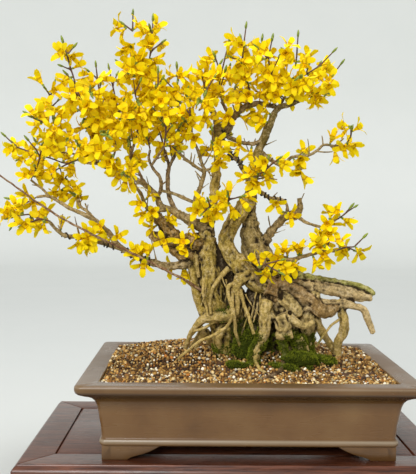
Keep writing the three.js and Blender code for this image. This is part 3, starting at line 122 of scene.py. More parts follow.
# Every limb and root: view column, view row, depth in mm and radius in mm at each of its points
LIMBS = {
    "heart": [(240, 362, 22, 32), (238, 335, 20, 29), (234, 316, 18, 27), (230, 299, 16, 25),
              (226, 282, 12, 21), (222, 265, 10, 16), (218, 250, 8, 12)],
    "heart_right": [(263, 362, 26, 27), (262, 335, 24, 26), (261, 316, 20, 25), (260, 300, 16, 23),
                    (262, 284, 12, 20)],
    "trunk_left": [(229, 362, 12, 24), (223, 330, 10, 20), (217, 308, 4, 19), (212, 286, -3, 18.5),
                   (209, 264, -3, 15.5), (208, 247, 2, 13.5), (207, 232, 4, 12), (209, 219, 4, 10.5),
                   (213, 204, 3, 7.5), (214, 190, 2, 6.5), (216, 177, 0, 7.8), (217, 162, 0, 6),
                   (218, 148, -2, 6.8), (218, 134, -2, 8), (216, 120, 0, 5), (213, 109, 2, 3),
                   (208, 100, 4, 2.2)],
    "trunk_left_ridge": [(208, 322, -12, 8), (201, 309, -7, 6.6), (196, 292, -4, 6.6), (194, 276, -2, 7.4),
                         (193, 260, 2, 10)],
    "stump_left": [(208, 244, 6, 15), (196, 244, 8, 18), (183, 244, 8, 18), (171, 241, 6, 15.5),
                   (161, 238, 5, 12), (153, 236, 4, 8)],
    "stump_knob": [(176, 238, 7, 13), (166, 228, 6, 11), (158, 218, 4, 9), (154, 212, 3, 6)],
    "stump_under": [(206, 268, 4, 12), (193, 258, 4, 12), (180, 254, 4, 9.5), (170, 246, 4, 8)],
    "trunk_middle": [(284, 292, 0, 19), (270, 287, -4, 17.5), (256, 281, -8, 16.5), (245, 272, -12, 15.5),
                     (237, 262, -13, 14.5), (230, 253, -12, 13.5), (226, 245, -10, 13),
                     (227, 235, -8, 12.5), (233, 223, -4, 12.5), (240, 212, 0, 12.5), (248, 200, 4, 12.5),
                     (252, 188, 4, 9.5), (251, 176, 2, 8), (255, 161, 0, 7), (260, 147, 0, 7),
                     (267, 132, 0, 7), (272, 120, 0, 6), (278, 108, 2, 5), (290, 104, 4, 4),
                     (302, 100, 6, 3)],
    "knee": [(246, 274, -16, 13), (240, 281, -23, 10), (235, 289, -27, 7)],
    "dead_cone": [(272, 292, 10, 24), (265, 272, 14, 24), (258, 255, 16, 22.5), (253, 241, 18, 19.5),
                  (250, 227, 18, 15), (250, 214, 16, 11), (251, 203, 12, 8)],
    "base_right": [(292, 363, 22, 25), (289, 336, 17, 21), (286, 319, 8, 21), (281, 304, 2, 20),
                   (274, 291, 0, 20), (266, 278, 4, 18)],
    "burl_right": [(306, 363, 20, 15), (306, 346, 17, 13), (307, 330, 10, 14), (309, 312, 4, 15),
                   (313, 298, -2, 13)],
    "burl_flow": [(276, 283, -10, 12), (290, 289, -12, 12), (303, 296, -12, 11), (313, 303, -10, 10)],
    "burl_knob": [(313, 302, -8, 12), (320, 310, -12, 12.5), (329, 311, -12, 11), (335, 307, -9, 7)],
    "burl_wound": [(271, 295, -16, 12.5), (273, 286, -13, 13)],
    "burl_high": [(284, 297, -13, 13), (290, 304, -13, 13), (297, 311, -12, 10)],
    "burl_low": [(280, 314, -22, 13), (283, 325, -22, 13.5)],
    "burl_foot": [(291, 333, -18, 10), (281, 335, -22, 9)],
    "burl_lip": [(289, 317, -23, 8), (297, 323, -26, 6.4), (306, 326, -27, 5.4), (313, 322, -22, 4)],
    "burl_shoulder": [(264, 308, -20, 10), (270, 317, -22, 9)],
    "burl_toe": [(297, 338, -8, 11), (303, 351, -3, 10), (305, 363, 0, 10)],
    "slab_top": [(266, 268, 14, 12), (288, 274, 12, 11), (308, 279, 9, 9), (326, 282, 7, 8),
                 (340, 283, 6, 6.6), (354, 285, 5, 6), (366, 289, 5, 5.6), (374, 294, 4, 4.4)],
    "slab_middle": [(262, 284, 6, 16), (284, 287, 6, 17), (304, 287, 3, 14), (320, 287, 2, 10),
                    (334, 290, 1, 10), (348, 293, 0, 9.6), (360, 296, 0, 8.6), (369, 298, 0, 6)],
    "slab_low": [(268, 300, 0, 16), (288, 302, -3, 14), (306, 304, -4, 13), (322, 305, -5, 10),
                 (335, 305, -5, 9), (344, 304, -5, 7.4), (354, 306, -6, 6.6), (363, 309, -7, 6),
                 (367, 317, -10, 5.6), (370, 325, -12, 5.2), (373, 333, -14, 4.4)],
    "root_right_leg": [(338, 303, -4, 7.5), (342, 312, -4, 7.5), (344, 324, -2, 7.8), (343, 334, 2, 7.4),
                       (338, 342, 8, 6.8), (338, 351, 14, 6.4), (337, 361, 16, 6.8)],
    "root_right_back": [(314, 316, 0, 8), (320, 328, 10, 7), (326, 338, 18, 6.4), (333, 348, 26, 6),
                        (337, 357, 30, 6.4)],
    "root_right_thin": [(340, 319, -5, 2.4), (329, 328, -6, 2), (316, 347, -2, 1.8)],
    "root_centre": [(266, 300, -22, 10), (265, 314, -25, 9.4), (265, 328, -27, 9.2), (261, 341, -28, 8),
                    (255, 352, -28, 8.4), (253, 363, -28, 9)],
    "root_centre_tip": [(254, 356, -30, 4.4), (256, 364, -40, 2.8), (260, 369, -51, 2.4),
                        (266, 373, -62, 2.2)],
    "root_front_arc": [(281, 341, -20, 5), (285, 353, -24, 4.4), (284, 361, -30, 4), (281, 370, -55, 3.8),
                       (270, 377, -82, 3.2), (257, 380, -98, 2.6)],
    "root_arch": [(238, 315, -8, 11), (227, 316, -14, 10), (214, 317, -16, 9), (203, 320, -12, 7.6),
                  (196, 327, -4, 5.4), (190, 336, 8, 4.2), (186, 346, 22, 3.6), (185, 354, 28, 3.8)],
    "root_arch_under": [(194, 331, -6, 2.6), (204, 328, -14, 2.4), (215, 321, -18, 2.8)],
    "root_long": [(233, 290, -26, 3.4), (232, 300, -32, 3), (233, 312, -36, 2.8), (228, 325, -38, 2.6),
                  (216, 334, -38, 2.6), (200, 341, -34, 2.4), (188, 351, -26, 2.2), (179, 358, -19, 2.2),
                  (175, 363, -16, 2.4)],
    "root_knee": [(236, 290, -27, 5), (238, 302, -28, 4.2), (237, 314, -26, 3.6)],
    "root_hanging_left": [(234, 284, -25, 4.4), (228, 287, -29, 3.6), (229, 297, -32, 3.2),
                          (233, 310, -36, 3), (235, 324, -34, 2.8), (237, 338, -28, 2.6),
                          (243, 352, -14, 2.4), (245, 360, -12, 2.6)],
    "root_hanging_right": [(240, 289, -25, 4), (244, 304, -32, 3), (250, 321, -36, 2.8),
                           (254, 334, -40, 2.6)],
    "root_inner_high": [(196, 256, -6, 4.4), (197, 266, -14, 3), (199, 277, -12, 3)],
    "root_inner": [(229, 268, -10, 5.4), (220, 277, -20, 3.6), (213, 288, -24, 3), (210, 300, -24, 2.6),
                   (211, 314, -24, 2.6)],
    "root_inner_left": [(205, 279, -15, 3), (203, 292, -20, 2.2), (206, 305, -19, 2.2),
                        (208, 316, -22, 2.6)],
    "root_left_back": [(206, 330, 14, 10), (198, 340, 24, 7), (190, 354, 34, 5.6)],
    "root_cut": [(222, 328, -8, 8), (218, 339, -10, 6.2), (220, 349, -5, 5.6), (221, 357, -2, 5.6)],
    "root_back": [(246, 318, 34, 16), (254, 332, 50, 11), (262, 353, 66, 8.4)],
    "root_back_left": [(226, 322, 30, 14), (216, 334, 46, 9), (206, 354, 60, 6.4)],
    "limb_low": [(196, 261, 2, 9.5), (186, 264, 0, 7.6), (175, 266, -2, 6.4), (163, 265, -4, 5.8),
                 (150, 262, -6, 5.4), (140, 258, -8, 5), (129, 253, -9, 4.8), (119, 246, -9, 4.6),
                 (110, 234, -6, 4.2), (100, 224, -2, 3.9), (89, 217, 4, 3.6), (78, 212, 9, 3.3),
                 (66, 206, 14, 3), (55, 199, 20, 2.7), (46, 196, 24, 2.5), (37, 197, 27, 2.2)],
    "limb_low_tip": [(50, 197, 22, 2.2), (41, 188, 30, 2), (31, 180, 38, 1.8)],
    "limb_low_front": [(123, 249, -10, 4), (112, 246, -18, 3.8), (100, 242, -26, 3.6), (88, 238, -33, 3.4),
                       (76, 237, -39, 3.2), (64, 235, -45, 3), (56, 229, -50, 2.7), (49, 221, -54, 2.4)],
    "limb_low_rear": [(96, 221, 2, 2.8), (88, 212, 18, 2.6), (80, 206, 32, 2.4), (78, 198, 44, 2.2)],
    "young_shoot": [(204, 292, -10, 2.4), (193, 285, -16, 2.2), (180, 277, -22, 2.1), (165, 270, -26, 2),
                    (140, 257, -32, 1.9), (115, 245, -38, 1.8), (90, 233, -62, 1.7), (60, 217, -72, 1.6),
                    (30, 197, -78, 1.5), (-4, 172, -84, 1.2)],
    "limb_left": [(212, 230, 4, 11.5), (201, 226, 1, 9.6), (190, 221, -2, 8), (180, 215, -4, 6.6),
                  (171, 210, -6, 5.6), (161, 206, -6, 5.4), (157, 197, -3, 4.8), (149, 188, 2, 4.3),
                  (139, 181, 8, 4), (129, 176, 14, 3.6), (118, 172, 20, 3.3), (109, 168, 25, 3),
                  (99, 164, 30, 2.7), (88, 163, 34, 2.5), (78, 160, 38, 2.2)],
    "limb_left_spur": [(166, 209, -6, 4.4), (150, 210, -12, 3.8), (145, 203, -16, 3.2), (141, 194, -20, 2.8),
                       (136, 186, -26, 2.4), (130, 178, -36, 2)],
    "crown_a": [(134, 178, 12, 2.8), (131, 166, 4, 2.5), (132, 152, -2, 2.2), (136, 138, -6, 2)],
    "crown_b": [(118, 172, 20, 2.7), (112, 160, 26, 2.4), (107, 146, 32, 2.1)],
    "crown_c": [(98, 164, 30, 2.4), (94, 152, 22, 2.2), (91, 140, 14, 1.9)],
    "crown_d": [(86, 162, 34, 2), (76, 155, 28, 1.8), (66, 153, 27, 1.7), (58, 151, 28, 1.7)],
    "crown_e": [(148, 188, 2, 3), (141, 176, 34, 2.4), (134, 162, 62, 2)],
    "crown_f": [(110, 169, 24, 2.5), (101, 166, -2, 2.2), (90, 158, -28, 1.9)],
    "crown_g": [(112, 160, 26, 2), (116, 148, 4, 1.9), (116, 138, -18, 1.8)],
    "crown_h": [(178, 214, -4, 4.6), (172, 204, 0, 4.2), (168, 192, 4, 3.9), (168, 178, 8, 3.6),
                (169, 167, 10, 3.3), (167, 159, 16, 2.7), (165, 151, 22, 2.2)],
    "crown_i": [(169, 167, 10, 3), (174, 157, 7, 2.8), (178, 147, 4, 2.6), (184, 134, 0, 2.4),
                (184, 122, -6, 2)],
    "crown_j": [(157, 197, -3, 3.4), (161, 189, -12, 3.1), (160, 178, -20, 2.8), (153, 169, -28, 2.5),
                (149, 159, -34, 2.2), (150, 150, -38, 2)],
    "crown_k": [(151, 166, -30, 2.2), (158, 156, -42, 2), (164, 146, -50, 1.8)],
    "limb_pale": [(206, 214, 0, 6), (197, 204, -8, 4.6), (196, 197, -12, 4.2), (200, 188, -14, 3.8),
                  (203, 178, -14, 3.4), (204, 170, -14, 3.2), (201, 160, -16, 2.6), (198, 150, -18, 2.4),
                  (193, 141, -20, 2)],
    "limb_pale_left": [(204, 172, -14, 2.8), (195, 166, -20, 2.6), (187, 160, -26, 2.3), (178, 152, -30, 2)],
    "limb_pale_right": [(204, 171, -14, 2.6), (211, 168, -24, 2.2), (218, 160, -34, 2)],
    "limb_cross": [(198, 203, -8, 3), (186, 199, -8, 2.7), (174, 194, -9, 2.5), (160, 190, -12, 2.4)],
    "arc_left": [(219, 140, -2, 6.4), (228, 130, 0, 6), (233, 118, 2, 5.6), (241, 110, 4, 5),
                 (250, 105, 5, 4.6), (262, 104, 5, 4.2), (276, 107, 3, 4)],
    "crown_l": [(232, 119, 2, 3.4), (226, 110, -12, 2.6), (222, 102, -24, 2.2)],
    "crown_m": [(240, 111, 4, 3), (238, 100, 24, 2.4), (236, 92, 40, 2)],
    "crown_n": [(250, 105, 5, 3), (250, 96, -8, 2.4), (249, 88, -20, 2)],
    "crown_o": [(264, 104, 5, 3), (267, 94, 14, 2.4), (267, 84, 24, 2)],
    "crown_p": [(274, 108, 3, 3.2), (274, 96, -6, 2.6), (273, 86, -16, 2.2)],
    "crown_q": [(278, 108, 2, 3), (284, 98, 26, 2.4), (288, 90, 44, 2)],
    "crown_r": [(290, 104, 4, 2.8), (292, 95, -6, 2.3), (293, 88, -16, 2)],
    "crown_s": [(214, 114, 2, 3.2), (208, 108, 18, 2.4), (204, 100, 30, 2)],
    "crown_t": [(218, 134, -2, 3.6), (210, 126, -16, 2.6), (205, 118, -28, 2)],
    "bridge": [(226, 136, -1, 4.2), (238, 141, -4, 3.2), (250, 144, -5, 3), (259, 142, -3, 3.4),
               (267, 138, -1, 3)],
    "elbow": [(220, 138, -3, 5), (228, 148, -8, 3.6), (231, 156, -10, 3.4), (239, 161, -9, 3.4),
              (243, 170, -6, 3.6), (250, 177, -1, 3.8)],
    "limb_right_high": [(260, 150, 0, 3.8), (268, 158, -4, 3.2), (276, 163, -8, 3), (284, 167, -10, 2.8),
                        (289, 159, -12, 2.6), (297, 156, -14, 2.4), (309, 155, -16, 2.3),
                        (318, 150, -18, 2.2), (323, 145, -20, 2.1), (334, 146, -22, 2), (343, 146, -24, 1.9)],
    "limb_right_loop": [(284, 167, -10, 2.2), (293, 171, -14, 2), (302, 169, -18, 1.8)],
    "limb_right_wired": [(254, 189, 3, 4), (262, 193, -2, 3), (270, 198, -6, 2.8), (280, 199, -10, 2.6),
                         (286, 203, -12, 2.4), (288, 212, -10, 2.4)],
    "limb_right_arm": [(262, 246, 12, 10), (270, 233, 8, 7.6), (278, 224, 4, 6.8), (286, 216, 0, 7),
                       (296, 214, -4, 8), (300, 206, -6, 5), (299, 198, -6, 3.4)],
    "limb_right_thin": [(296, 216, -4, 3.4), (306, 222, -8, 2.6), (316, 226, -12, 2.3), (324, 228, -16, 2.1),
                        (330, 235, -20, 1.9)],
    "limb_right_fork": [(322, 227, -15, 1.9), (329, 222, -20, 1.8), (336, 220, -25, 1.7)],
    "limb_right_low": [(264, 266, 10, 9), (280, 259, -16, 5), (291, 260, -22, 3.8), (302, 257, -26, 3.2),
                       (312, 254, -30, 2.8), (323, 251, -33, 2.5), (335, 251, -36, 2.2)],
    "limb_front_short": [(250, 182, -2, 4), (256, 178, -22, 2.8), (260, 174, -40, 2.2)],
    "spur_neck": [(213, 206, -2, 4), (210, 207, -20, 2.6), (209, 208, -32, 2.2)],
    "spur_inner": [(236, 214, -6, 4.4), (231, 207, -22, 2.6), (228, 203, -34, 2.2)],
    "spur_low": [(262, 286, -10, 7), (256, 277, -38, 3), (258, 272, -48, 2.4)],
}

# Bark by kind of limb: its tint as sRGB hex, how many times longer its pattern is along it, and its relief
BARKS = {
    # The heart's near-black tint is painted shade for its deep recess, and the base's darker tint is painted
    # shade under the burl
    "trunk": (0x9C8648, 2.4, 0.66), "heart": (0x3C2E16, 2.5, 0.8), "knee": (0x9E8850, 2.4, 0.6),
    "base": (0x7E6A44, 2.6, 0.6), "burl": (0xB29C68, 2.6, 0.45), "burl_flow": (0x9A8058, 4.0, 0.5),
    "burl_knob": (0x8C724A, 3.0, 0.6), "burl_wound": (0x8C7048, 2.0, 0.5), "dead": (0x9C8858, 4.5, 0.8),
    "stump": (0x8E7240, 2.2, 0.9), "slab": (0xB09A70, 6.0, 0.6), "slab_top": (0x949050, 6.0, 0.8),
    "root": (0xAC955C, 3.0, 0.7), "root_front_arc": (0x54402A, 3.0, 0.7), "limb": (0x8E7A52, 2.6, 0.9),
    "crown": (0x7E6848, 2.6, 1.0), "arc": (0x8E7A52, 2.4, 1.0), "bridge": (0x84704E, 2.6, 1.0),
    "elbow": (0x6E5A3A, 2.6, 1.0), "young": (0x7E5E44, 3.0, 1.0), "spur": (0x8A7654, 2.6, 1.0),
}
# The crown's wood is darker: heights over the stand's top in millimetres, and the light left at each
HIGH_BARK = ((420, 500), (1.0, 0.74))
DARK_BARK = ((400, 480), (1.0, 0.4))
DARK_LIMBS = ("trunk_middle", "crown_p", "crown_q", "crown_r", "elbow", "crown_i")
# Where moss grows on the wood: middle and radii in millimetres from the pot's middle, and how dense it is
MOSS_ZONES = [
    ((4, -14, 146), (28, 40, 40), 1.0),
    ((78, -12, 130), (70, 44, 36), 1.0),
    ((-36, 0, 128), (26, 30, 16), 0.7),
    ((-30, -6, 196), (20, 26, 24), 0.4),
]
# The base's trunks start this far under the soil, this much wider than at its surface
FLARED = ("heart", "trunk_left", "base_right", "burl_right")
FLARE_DEPTH = 14
FLARE_SPREAD = 1.25

# Limbs that are wound with dark training wire: first and last point along the limb, and the turns
WIRES = {
    "wire_low": ("limb_low", 3.8, 6.1, 6),
    "wire_elbow": ("elbow", 1.2, 3.8, 5),
    "wire_front": ("limb_low_front", 0.8, 5.2, 9),
    "wire_right": ("limb_right_wired", 0.8, 4.0, 5),
}
WIRE_RADIUS = 1.2
# Points on one turn of a wire
WIRE_STEPS = 14


def linear(code, alpha=1.0):
    """An sRGB hex colour as linear red, green, blue and alpha."""
    channels = [(code >> shift & 255) / 255 for shift in (16, 8, 0)]
    return (*[c / 12.92 if c <= 0.04045 else ((c + 0.055) / 1.055) ** 2.4 for c in channels], alpha)


def place(column, row, depth):
    """The point of the tree at a view column and row, at a depth in millimetres behind the pot's middle."""
    ray = EYE_TURN @ Vector(((column - VIEW_MIDDLE[0]) / EYE_FOCAL, 1, (VIEW_MIDDLE[1] - row) / EYE_FOCAL))
    return EYE + ray * ((ORIGIN.y + depth * MM - EYE.y) / ray.y)


def colour_property(name, description, code):
    return FloatVectorProperty(
        name=name, description=description, subtype="COLOR", size=4, min=0, max=1, default=linear(code))


def length_property(name, description, millimetres):
    return FloatProperty(
        name=name, description=description, unit="LENGTH", precision=4, default=millimetres * MM)


class StageSettings(bpy.types.PropertyGroup):
    floor_colour: colour_property("Floor", "Matt paper sweep under and behind the tree", 0xD8DAD6)
    sweep_distance: FloatProperty(
        name="Sweep distance", description="From the tree to the foot of the curved backdrop", unit="LENGTH",
        default=3.4)
    key_strength: FloatProperty(
        name="Key light", description="Strength of the big soft light from the front", default=1.9)
    overhead_power: FloatProperty(
        name="Overhead light", description="Power of the soft light above the tree", unit="POWER",
        default=14)


class StandSettings(bpy.types.PropertyGroup):
    dark_colour: colour_property("Dark grain", "Late wood of the stand", 0x2C1410)
    light_colour: colour_property("Light grain", "Early wood of the stand", 0x5E331E)
    edge_radius: length_property("Edge radius", "Rounding of every board's edges", 1.1)


class PotSettings(bpy.types.PropertyGroup):
    clay_colour: colour_property("Clay", "Fired clay of the pot", 0x6E4C26)
    worn_colour: colour_property("Worn clay", "Where handling has polished the clay", 0x7E5E36)
    edge_radius: length_property("Edge radius", "Rounding of the pot's edges", 0.9)


class GravelSettings(bpy.types.PropertyGroup):
    grain_size: length_property("Grain size", "Mean width of a grain of the soil", 5.2)
    seed: IntProperty(name="Seed", description="Starts the random places of the grains", default=7)


class MossSettings(bpy.types.PropertyGroup):
    blade_height: length_property("Blade height", "Height of a moss shoot", 4.2)
    young_colour: colour_property("Young moss", "Tips of the moss", 0x9AA22A)
    old_colour: colour_property("Old moss", "Foot of the moss", 0x2E360C)


class WoodSettings(bpy.types.PropertyGroup):
    grain_size: length_property("Remesh size", "Size of the faces that fuse the trunks", 1.9)
    relief: length_property("Bark relief", "Height of the strongest ridges of the bark", 3.2)
    crevice_colour: colour_property("Crevices", "Shade in the furrows of the bark", 0x2C1E06)
    seed: IntProperty(name="Seed", description="Starts the small bends of the thin limbs", default=4, min=1)


class FlowerSettings(bpy.types.PropertyGroup):
    petal_length: length_property("Petal length", "From the throat to the tip, along the petal", 21.5)
    petal_width: length_property("Petal width", "At the widest place", 9.6)
    petal_colour: colour_property("Petal", "Open petal", 0xFFDC06)
    throat_colour: colour_property("Throat", "Ring round the throat", 0xD8A800)
    seed: IntProperty(name="Seed", description="Starts the small differences between flowers", default=11)


def deselect_all():
    if bpy.context.object and bpy.context.object.mode != "OBJECT":
        bpy.ops.object.mode_set(mode="OBJECT")
    bpy.ops.object.select_all(action="DESELECT")


def make_active(piece):
    deselect_all()
    piece.select_set(True)
    bpy.context.view_layer.objects.active = piece


def apply_modifier(piece, kind, **settings):
    """Adds one modifier with its settings to a piece and applies it."""
    make_active(piece)
    modifier = piece.modifiers.new(kind.title(), kind)
    for name, value in settings.items():
        setattr(modifier, name, value)
    bpy.ops.object.modifier_apply(modifier=modifier.name)


def smooth_shade(piece, degrees=40):
    make_active(piece)
    bpy.ops.object.shade_smooth_by_angle(angle=math.radians(degrees))


def settle(piece, name, material, slot, *nodes):
    """Names and paints a finished piece, seats it on the root body and hides the CAD nodes it replaces."""
    make_active(piece)
    bpy.ops.object.transform_apply(location=True, rotation=True, scale=True)
    piece.name = piece.data.name = name
    # Clearing sets every face back to the first material, so only a list that holds some is cleared
    if piece.data.materials:
        piece.data.materials.clear()
    for each in material if isinstance(material, list) else [material]:
        piece.data.materials.append(each)
    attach(piece, "root")
    if nodes:
        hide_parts(*nodes)
    return piece


def read_points(mesh):
    points = np.empty(len(mesh.vertices) * 3)
    mesh.vertices.foreach_get("co", points)
    return points.reshape(-1, 3)


def write_points(mesh, points):
    mesh.vertices.foreach_set("co", np.asarray(points, dtype=float).ravel())
    mesh.update()


def point_attribute(mesh, name, values, kind="FLOAT"):
    """Writes one value, or one colour, a vertex under a name that a material reads."""
    attribute = mesh.attributes.new(name, kind, "POINT")
    field = "value" if kind == "FLOAT" else "color"
    attribute.data.foreach_set(field, np.asarray(values, dtype=float).ravel())


def add_node(material, kind, inputs=None, stops=None, **settings):
    """Adds one shader node. An input that is a socket is linked, any other is set. Stops are for ramps."""
    tree = material.node_tree
    node = tree.nodes.new(kind)
    for name, value in settings.items():
        setattr(node, name, value)
    for name, value in (inputs or {}).items():
        if isinstance(value, bpy.types.NodeSocket):
            tree.links.new(value, node.inputs[name])
        else:
            node.inputs[name].default_value = value
    if stops:
        elements = node.color_ramp.elements
        while len(elements) < len(stops):
            elements.new(1)
        for element, (position, colour) in zip(elements, stops):
            element.position, element.color = position, colour
    return node


def new_material(name):
    material = bpy.data.materials.new(name)
    material.use_nodes = True
    material.node_tree.nodes.clear()
    return material


def close_material(material, **inputs):
    """Puts the surface shader and the output at the end of a material's nodes."""
    named = {name.replace("_", " "): value for name, value in inputs.items()}
    shader = add_node(material, "ShaderNodeBsdfPrincipled", named)
    add_node(material, "ShaderNodeOutputMaterial", {"Surface": shader.outputs[0]})
    return material


# Numbers of the Mix node's sockets when it mixes colours
MIX_SHARE, MIX_A, MIX_B, MIX_RESULT = 0, 6, 7, 2


def paper_sweep(settings):
    """Seamless background paper: matt and even, so the eye finds no edge behind the tree."""
    material = new_material("background_paper")
    where = add_node(material, "ShaderNodeTexCoord")
    fibre = add_node(material, "ShaderNodeTexNoise", {"Vector": where.outputs["Object"], "Scale": 3.0})
    tone = add_node(material, "ShaderNodeMix", {
        MIX_SHARE: fibre.outputs[0], MIX_A: settings.floor_colour, MIX_B: linear(0xD3D6D2)}, data_type="RGBA")
    return close_material(material, Base_Color=tone.outputs[MIX_RESULT], Roughness=0.9)


def oiled_rosewood(settings, name, turn):
    """Oiled rosewood, planed: red-brown with darker streaks along each board and a soft broad shine."""
    material = new_material(name)
    where = add_node(material, "ShaderNodeTexCoord")
    along = add_node(material, "ShaderNodeMapping", {
        "Vector": where.outputs["Object"], "Rotation": (0, 0, turn), "Scale": (1, 14, 14)})
    # Streaks of about 4 mm across the board, fourteen times longer along it
    streak = add_node(material, "ShaderNodeTexNoise", {
        "Vector": along.outputs[0], "Scale": 17.0, "Detail": 5.0, "Roughness": 0.62, "Distortion": 0.4})
    tone = add_node(material, "ShaderNodeValToRGB", {"Fac": streak.outputs[0]}, stops=[
        (0.3, settings.dark_colour), (0.52, settings.light_colour), (0.72, linear(0x7A4730))])
    # Pores are about 0.3 mm wide, drawn 1 mm wide so that they show
    pore = add_node(material, "ShaderNodeTexNoise", {
        "Vector": along.outputs[0], "Scale": 70.0, "Detail": 2.0})
    dust = add_node(material, "ShaderNodeMapRange", {
        "Value": pore.outputs[0], "From Min": 0.3, "From Max": 0.7, "To Min": 0.26, "To Max": 0.42})
    bump = add_node(material, "ShaderNodeBump", {
        "Height": pore.outputs[0], "Strength": 0.25, "Distance": 0.25 * MM})
    return close_material(
        material, Base_Color=tone.outputs[0], Roughness=dust.outputs[0], Normal=bump.outputs[0],
        Coat_Weight=0.25, Coat_Roughness=0.22)


def fired_clay(settings):
    """Unglazed brown stoneware, rubbed with oil over the years: satin, with painted shade under the lip, a
    greyer painted highlight on the bead and lip edges, and fine grog.
    """
    material = new_material("fired_clay")
    where = add_node(material, "ShaderNodeTexCoord")
    patina = add_node(material, "ShaderNodeAttribute", attribute_name="patina")
    cloud = add_node(material, "ShaderNodeTexNoise", {
        "Vector": where.outputs["Object"], "Scale": 9.0, "Detail": 8.0, "Roughness": 0.6})
    tone = add_node(material, "ShaderNodeValToRGB", {"Fac": cloud.outputs[0]}, stops=[
        (0.26, linear(0x583A1A)), (0.5, settings.clay_colour), (0.78, settings.worn_colour)])
    # Painted shade darkens the cove under the lip, and less so the feet and the lip
    dark = add_node(material, "ShaderNodeMix", {
        MIX_SHARE: patina.outputs["Fac"], MIX_A: tone.outputs[0], MIX_B: linear(0x2E1D0C)}, data_type="RGBA")
    # Painted highlight: the bead and the lip's edges turn a pale greyish tan
    worn = add_node(material, "ShaderNodeAttribute", attribute_name="worn")
    highlighted = add_node(material, "ShaderNodeMix", {
        MIX_SHARE: worn.outputs["Fac"], MIX_A: dark.outputs[MIX_RESULT], MIX_B: linear(0xA09078)},
        data_type="RGBA")
    # Wiping has left streaks along the pot, some 10 mm high
    along = add_node(material, "ShaderNodeMapping", {
        "Vector": where.outputs["Object"], "Scale": (0.12, 0.12, 1)})
    streak = add_node(material, "ShaderNodeTexNoise", {
        "Vector": along.outputs[0], "Scale": 70.0, "Detail": 3.0})
    # Grog of about 0.8 mm
    grog = add_node(material, "ShaderNodeTexNoise", {
        "Vector": where.outputs["Object"], "Scale": 900.0, "Detail": 2.0})
    satin = add_node(material, "ShaderNodeMapRange", {
        "Value": streak.outputs[0], "From Min": 0.35, "From Max": 0.65, "To Min": 0.42, "To Max": 0.2})
    bump = add_node(material, "ShaderNodeBump", {
        "Height": grog.outputs[0], "Strength": 0.25, "Distance": 0.25 * MM})
    return close_material(
        material, Base_Color=highlighted.outputs[MIX_RESULT], Roughness=satin.outputs[0], Normal=bump.outputs[0])


def damp_soil():
    """Dark fines between the grains, damp and rough, so the gaps in the gravel read as shade."""
    material = new_material("damp_soil")
    where = add_node(material, "ShaderNodeTexCoord")
    crumb = add_node(material, "ShaderNodeTexNoise", {
        "Vector": where.outputs["Object"], "Scale": 260.0, "Detail": 5.0})
    tone = add_node(material, "ShaderNodeValToRGB", {"Fac": crumb.outputs[0]}, stops=[
        (0.3, linear(0x2A1C12)), (0.7, linear(0x6B4A30))])
    bump = add_node(material, "ShaderNodeBump", {"Height": crumb.outputs[0], "Distance": 1.5 * MM})
    return close_material(material, Base_Color=tone.outputs[0], Roughness=0.95, Normal=bump.outputs[0])


def baked_gravel():
    """Baked clay and pumice gravel: each grain has its own tan, brown or cream, dull and finely pitted."""
    material = new_material("baked_gravel")
    where = add_node(material, "ShaderNodeTexCoord")
    tint = add_node(material, "ShaderNodeAttribute", attribute_name="grain_colour")
    # Pits of about 0.7 mm
    pit = add_node(material, "ShaderNodeTexNoise", {
        "Vector": where.outputs["Object"], "Scale": 1100.0, "Detail": 3.0})
    shade = add_node(material, "ShaderNodeMapRange", {
        "Value": pit.outputs[0], "From Min": 0.3, "From Max": 0.7, "To Min": 0.72, "To Max": 1.12})
    tone = add_node(material, "ShaderNodeHueSaturation", {
        "Color": tint.outputs["Color"], "Value": shade.outputs[0]})
    bump = add_node(material, "ShaderNodeBump", {
        "Height": pit.outputs[0], "Strength": 0.5, "Distance": 0.3 * MM})
    return close_material(material, Base_Color=tone.outputs[0], Roughness=0.88, Normal=bump.outputs[0])


def living_moss(settings):
    """Cushion moss: dull dark green at its foot, yellow-green at the tips."""
    material = new_material("living_moss")
    where = add_node(material, "ShaderNodeTexCoord")
    height = add_node(material, "ShaderNodeAttribute", attribute_name="reach")
    patch = add_node(material, "ShaderNodeTexNoise", {
        "Vector": where.outputs["Object"], "Scale": 90.0, "Detail": 4.0})
    grown = add_node(material, "ShaderNodeMath", {
        0: height.outputs["Fac"], 1: patch.outputs[0]}, operation="MULTIPLY")
    tone = add_node(material, "ShaderNodeValToRGB", {"Fac": grown.outputs[0]}, stops=[
        (0.0, settings.old_colour), (0.24, linear(0x566018)), (0.62, settings.young_colour)])
    bump = add_node(material, "ShaderNodeBump", {"Height": patch.outputs[0], "Distance": 0.8 * MM})
    return close_material(
        material, Base_Color=tone.outputs[0], Roughness=0.95, Normal=bump.outputs[0], Specular_IOR_Level=0.1)


